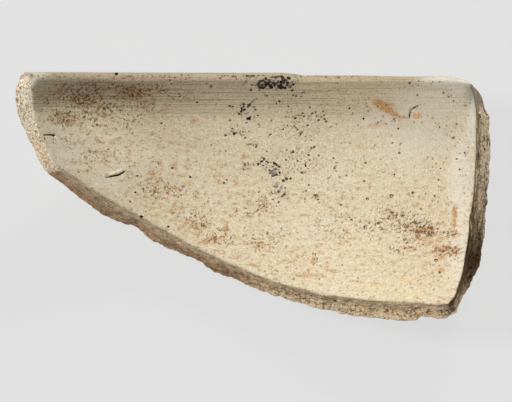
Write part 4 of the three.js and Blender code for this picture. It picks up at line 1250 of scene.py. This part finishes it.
grit_paints = [(slot, grit(slot, tones)) for slot, tones in grit_tones.items()]
for k in range(grit_count):
    node = f"grit_grain_{k + 1:02d}"
    low, high = (np.array(corner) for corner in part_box(node))
    share = skin_grain_share if k < skin_grain_count else break_grain_share
    grit_body = bmesh.new()
    bmesh.ops.create_icosphere(grit_body, subdivisions=grit_cuts, radius=1)
    unit = shares_of(grit_body)
    bumps = grain(unit, grit_bump_size, grit_seed_step * k + grit_first_seed)
    unit *= 1 + grit_lumpiness * bumps[:, None]
    places = (low + high + unit * (high - low) * share) / 2
    grit_grain = make_mesh(f"grit_{k + 1:02d}", grit_body, places)
    slot, paint = grit_paints[k % len(grit_paints)]
    grit_grain.data.materials.append(paint)
    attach(grit_grain, "root")
    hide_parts(node)

# The room: a pale floor, even light, two soft lamps from behind and from the left, and a camera
# that looks down into the hollow, square to the vessel's axis, as the photograph does.
picture_width_px = 512
picture_height_px = 402
backdrop = (0.76, 0.76, 0.76, 1)
floor_tone = (0.8, 0.8, 0.8, 1)
floor_half_width = 40
floor_shadow_share = 0.13
lamps = [
    ("back_lamp", (0.25, 0.85, 0.45), 1.85, 0.25),
    ("left_lamp", (-0.72, 0.25, 0.64), 1.9, 0.3),
]
sky_strength = 0.19
lens_mm = 1000
sensor_mm = 36
wall_below_axis = -0.095


def add_backdrop(tree, lit, plain_kind, share, output):
    """Lays a share of plain grey over what is lit, for the rays that see and don't light."""
    path = put(tree, "LightPath").outputs
    looks = sums("MAXIMUM", path["Is Camera Ray"], path["Is Glossy Ray"])
    looks = times(sums("MAXIMUM", looks, path["Is Transmission Ray"]), share)
    plain = put(tree, plain_kind, {"Color": backdrop})
    both = put(tree, "MixShader", {0: looks, 1: lit.outputs[0], 2: plain.outputs[0]})
    tree.links.new(both.outputs[0], tree.nodes[output].inputs["Surface"])


floor_body = bmesh.new()
bmesh.ops.create_grid(floor_body, x_segments=1, y_segments=1, size=floor_half_width)
floor_mesh = bpy.data.meshes.new("floor")
floor_body.to_mesh(floor_mesh)
floor_body.free()
floor = add_object("floor", floor_mesh)
floor_paint, tree, shader = new_material("pale_floor")
shader.inputs["Base Color"].default_value = floor_tone
shader.inputs["Roughness"].default_value = 1
shader.inputs["Specular IOR Level"].default_value = 0
add_backdrop(tree, shader, "Emission", 1 - floor_shadow_share, "Material Output")
floor_mesh.materials.append(floor_paint)

for name, lamp_from, strength, softness in lamps:
    lamp = bpy.data.lights.new(name, "SUN")
    lamp.energy = strength
    lamp.angle = softness
    aimed = (rest_turn @ Vector(lamp_from)).to_track_quat("Z", "Y")
    add_object(name, lamp).rotation_euler = aimed.to_euler()

world = bpy.data.worlds.new("even_light")
world.use_nodes = True
bpy.context.scene.world = world
sky = world.node_tree.nodes["Background"]
sky.inputs["Color"].default_value = (1, 1, 1, 1)
sky.inputs["Strength"].default_value = sky_strength
add_backdrop(world.node_tree, sky, "Background", 1, "World Output")

aim = Vector((*seen_at(picture_width_px / 2, picture_height_px / 2), wall_below_axis))
distance = picture_width_px * pixel * lens_mm / sensor_mm
camera = bpy.data.cameras.new("camera")
camera.lens = lens_mm
camera.sensor_width = sensor_mm
camera.clip_end = 2 * floor_half_width
camera_object = add_object("camera", camera)
camera_object.location = rest_turn @ (aim + Vector((0, 0, distance))) + axis_place
camera_object.rotation_euler = rest_turn.to_euler()
bpy.context.scene.camera = camera_object
bpy.context.scene.view_settings.view_transform = "Standard"
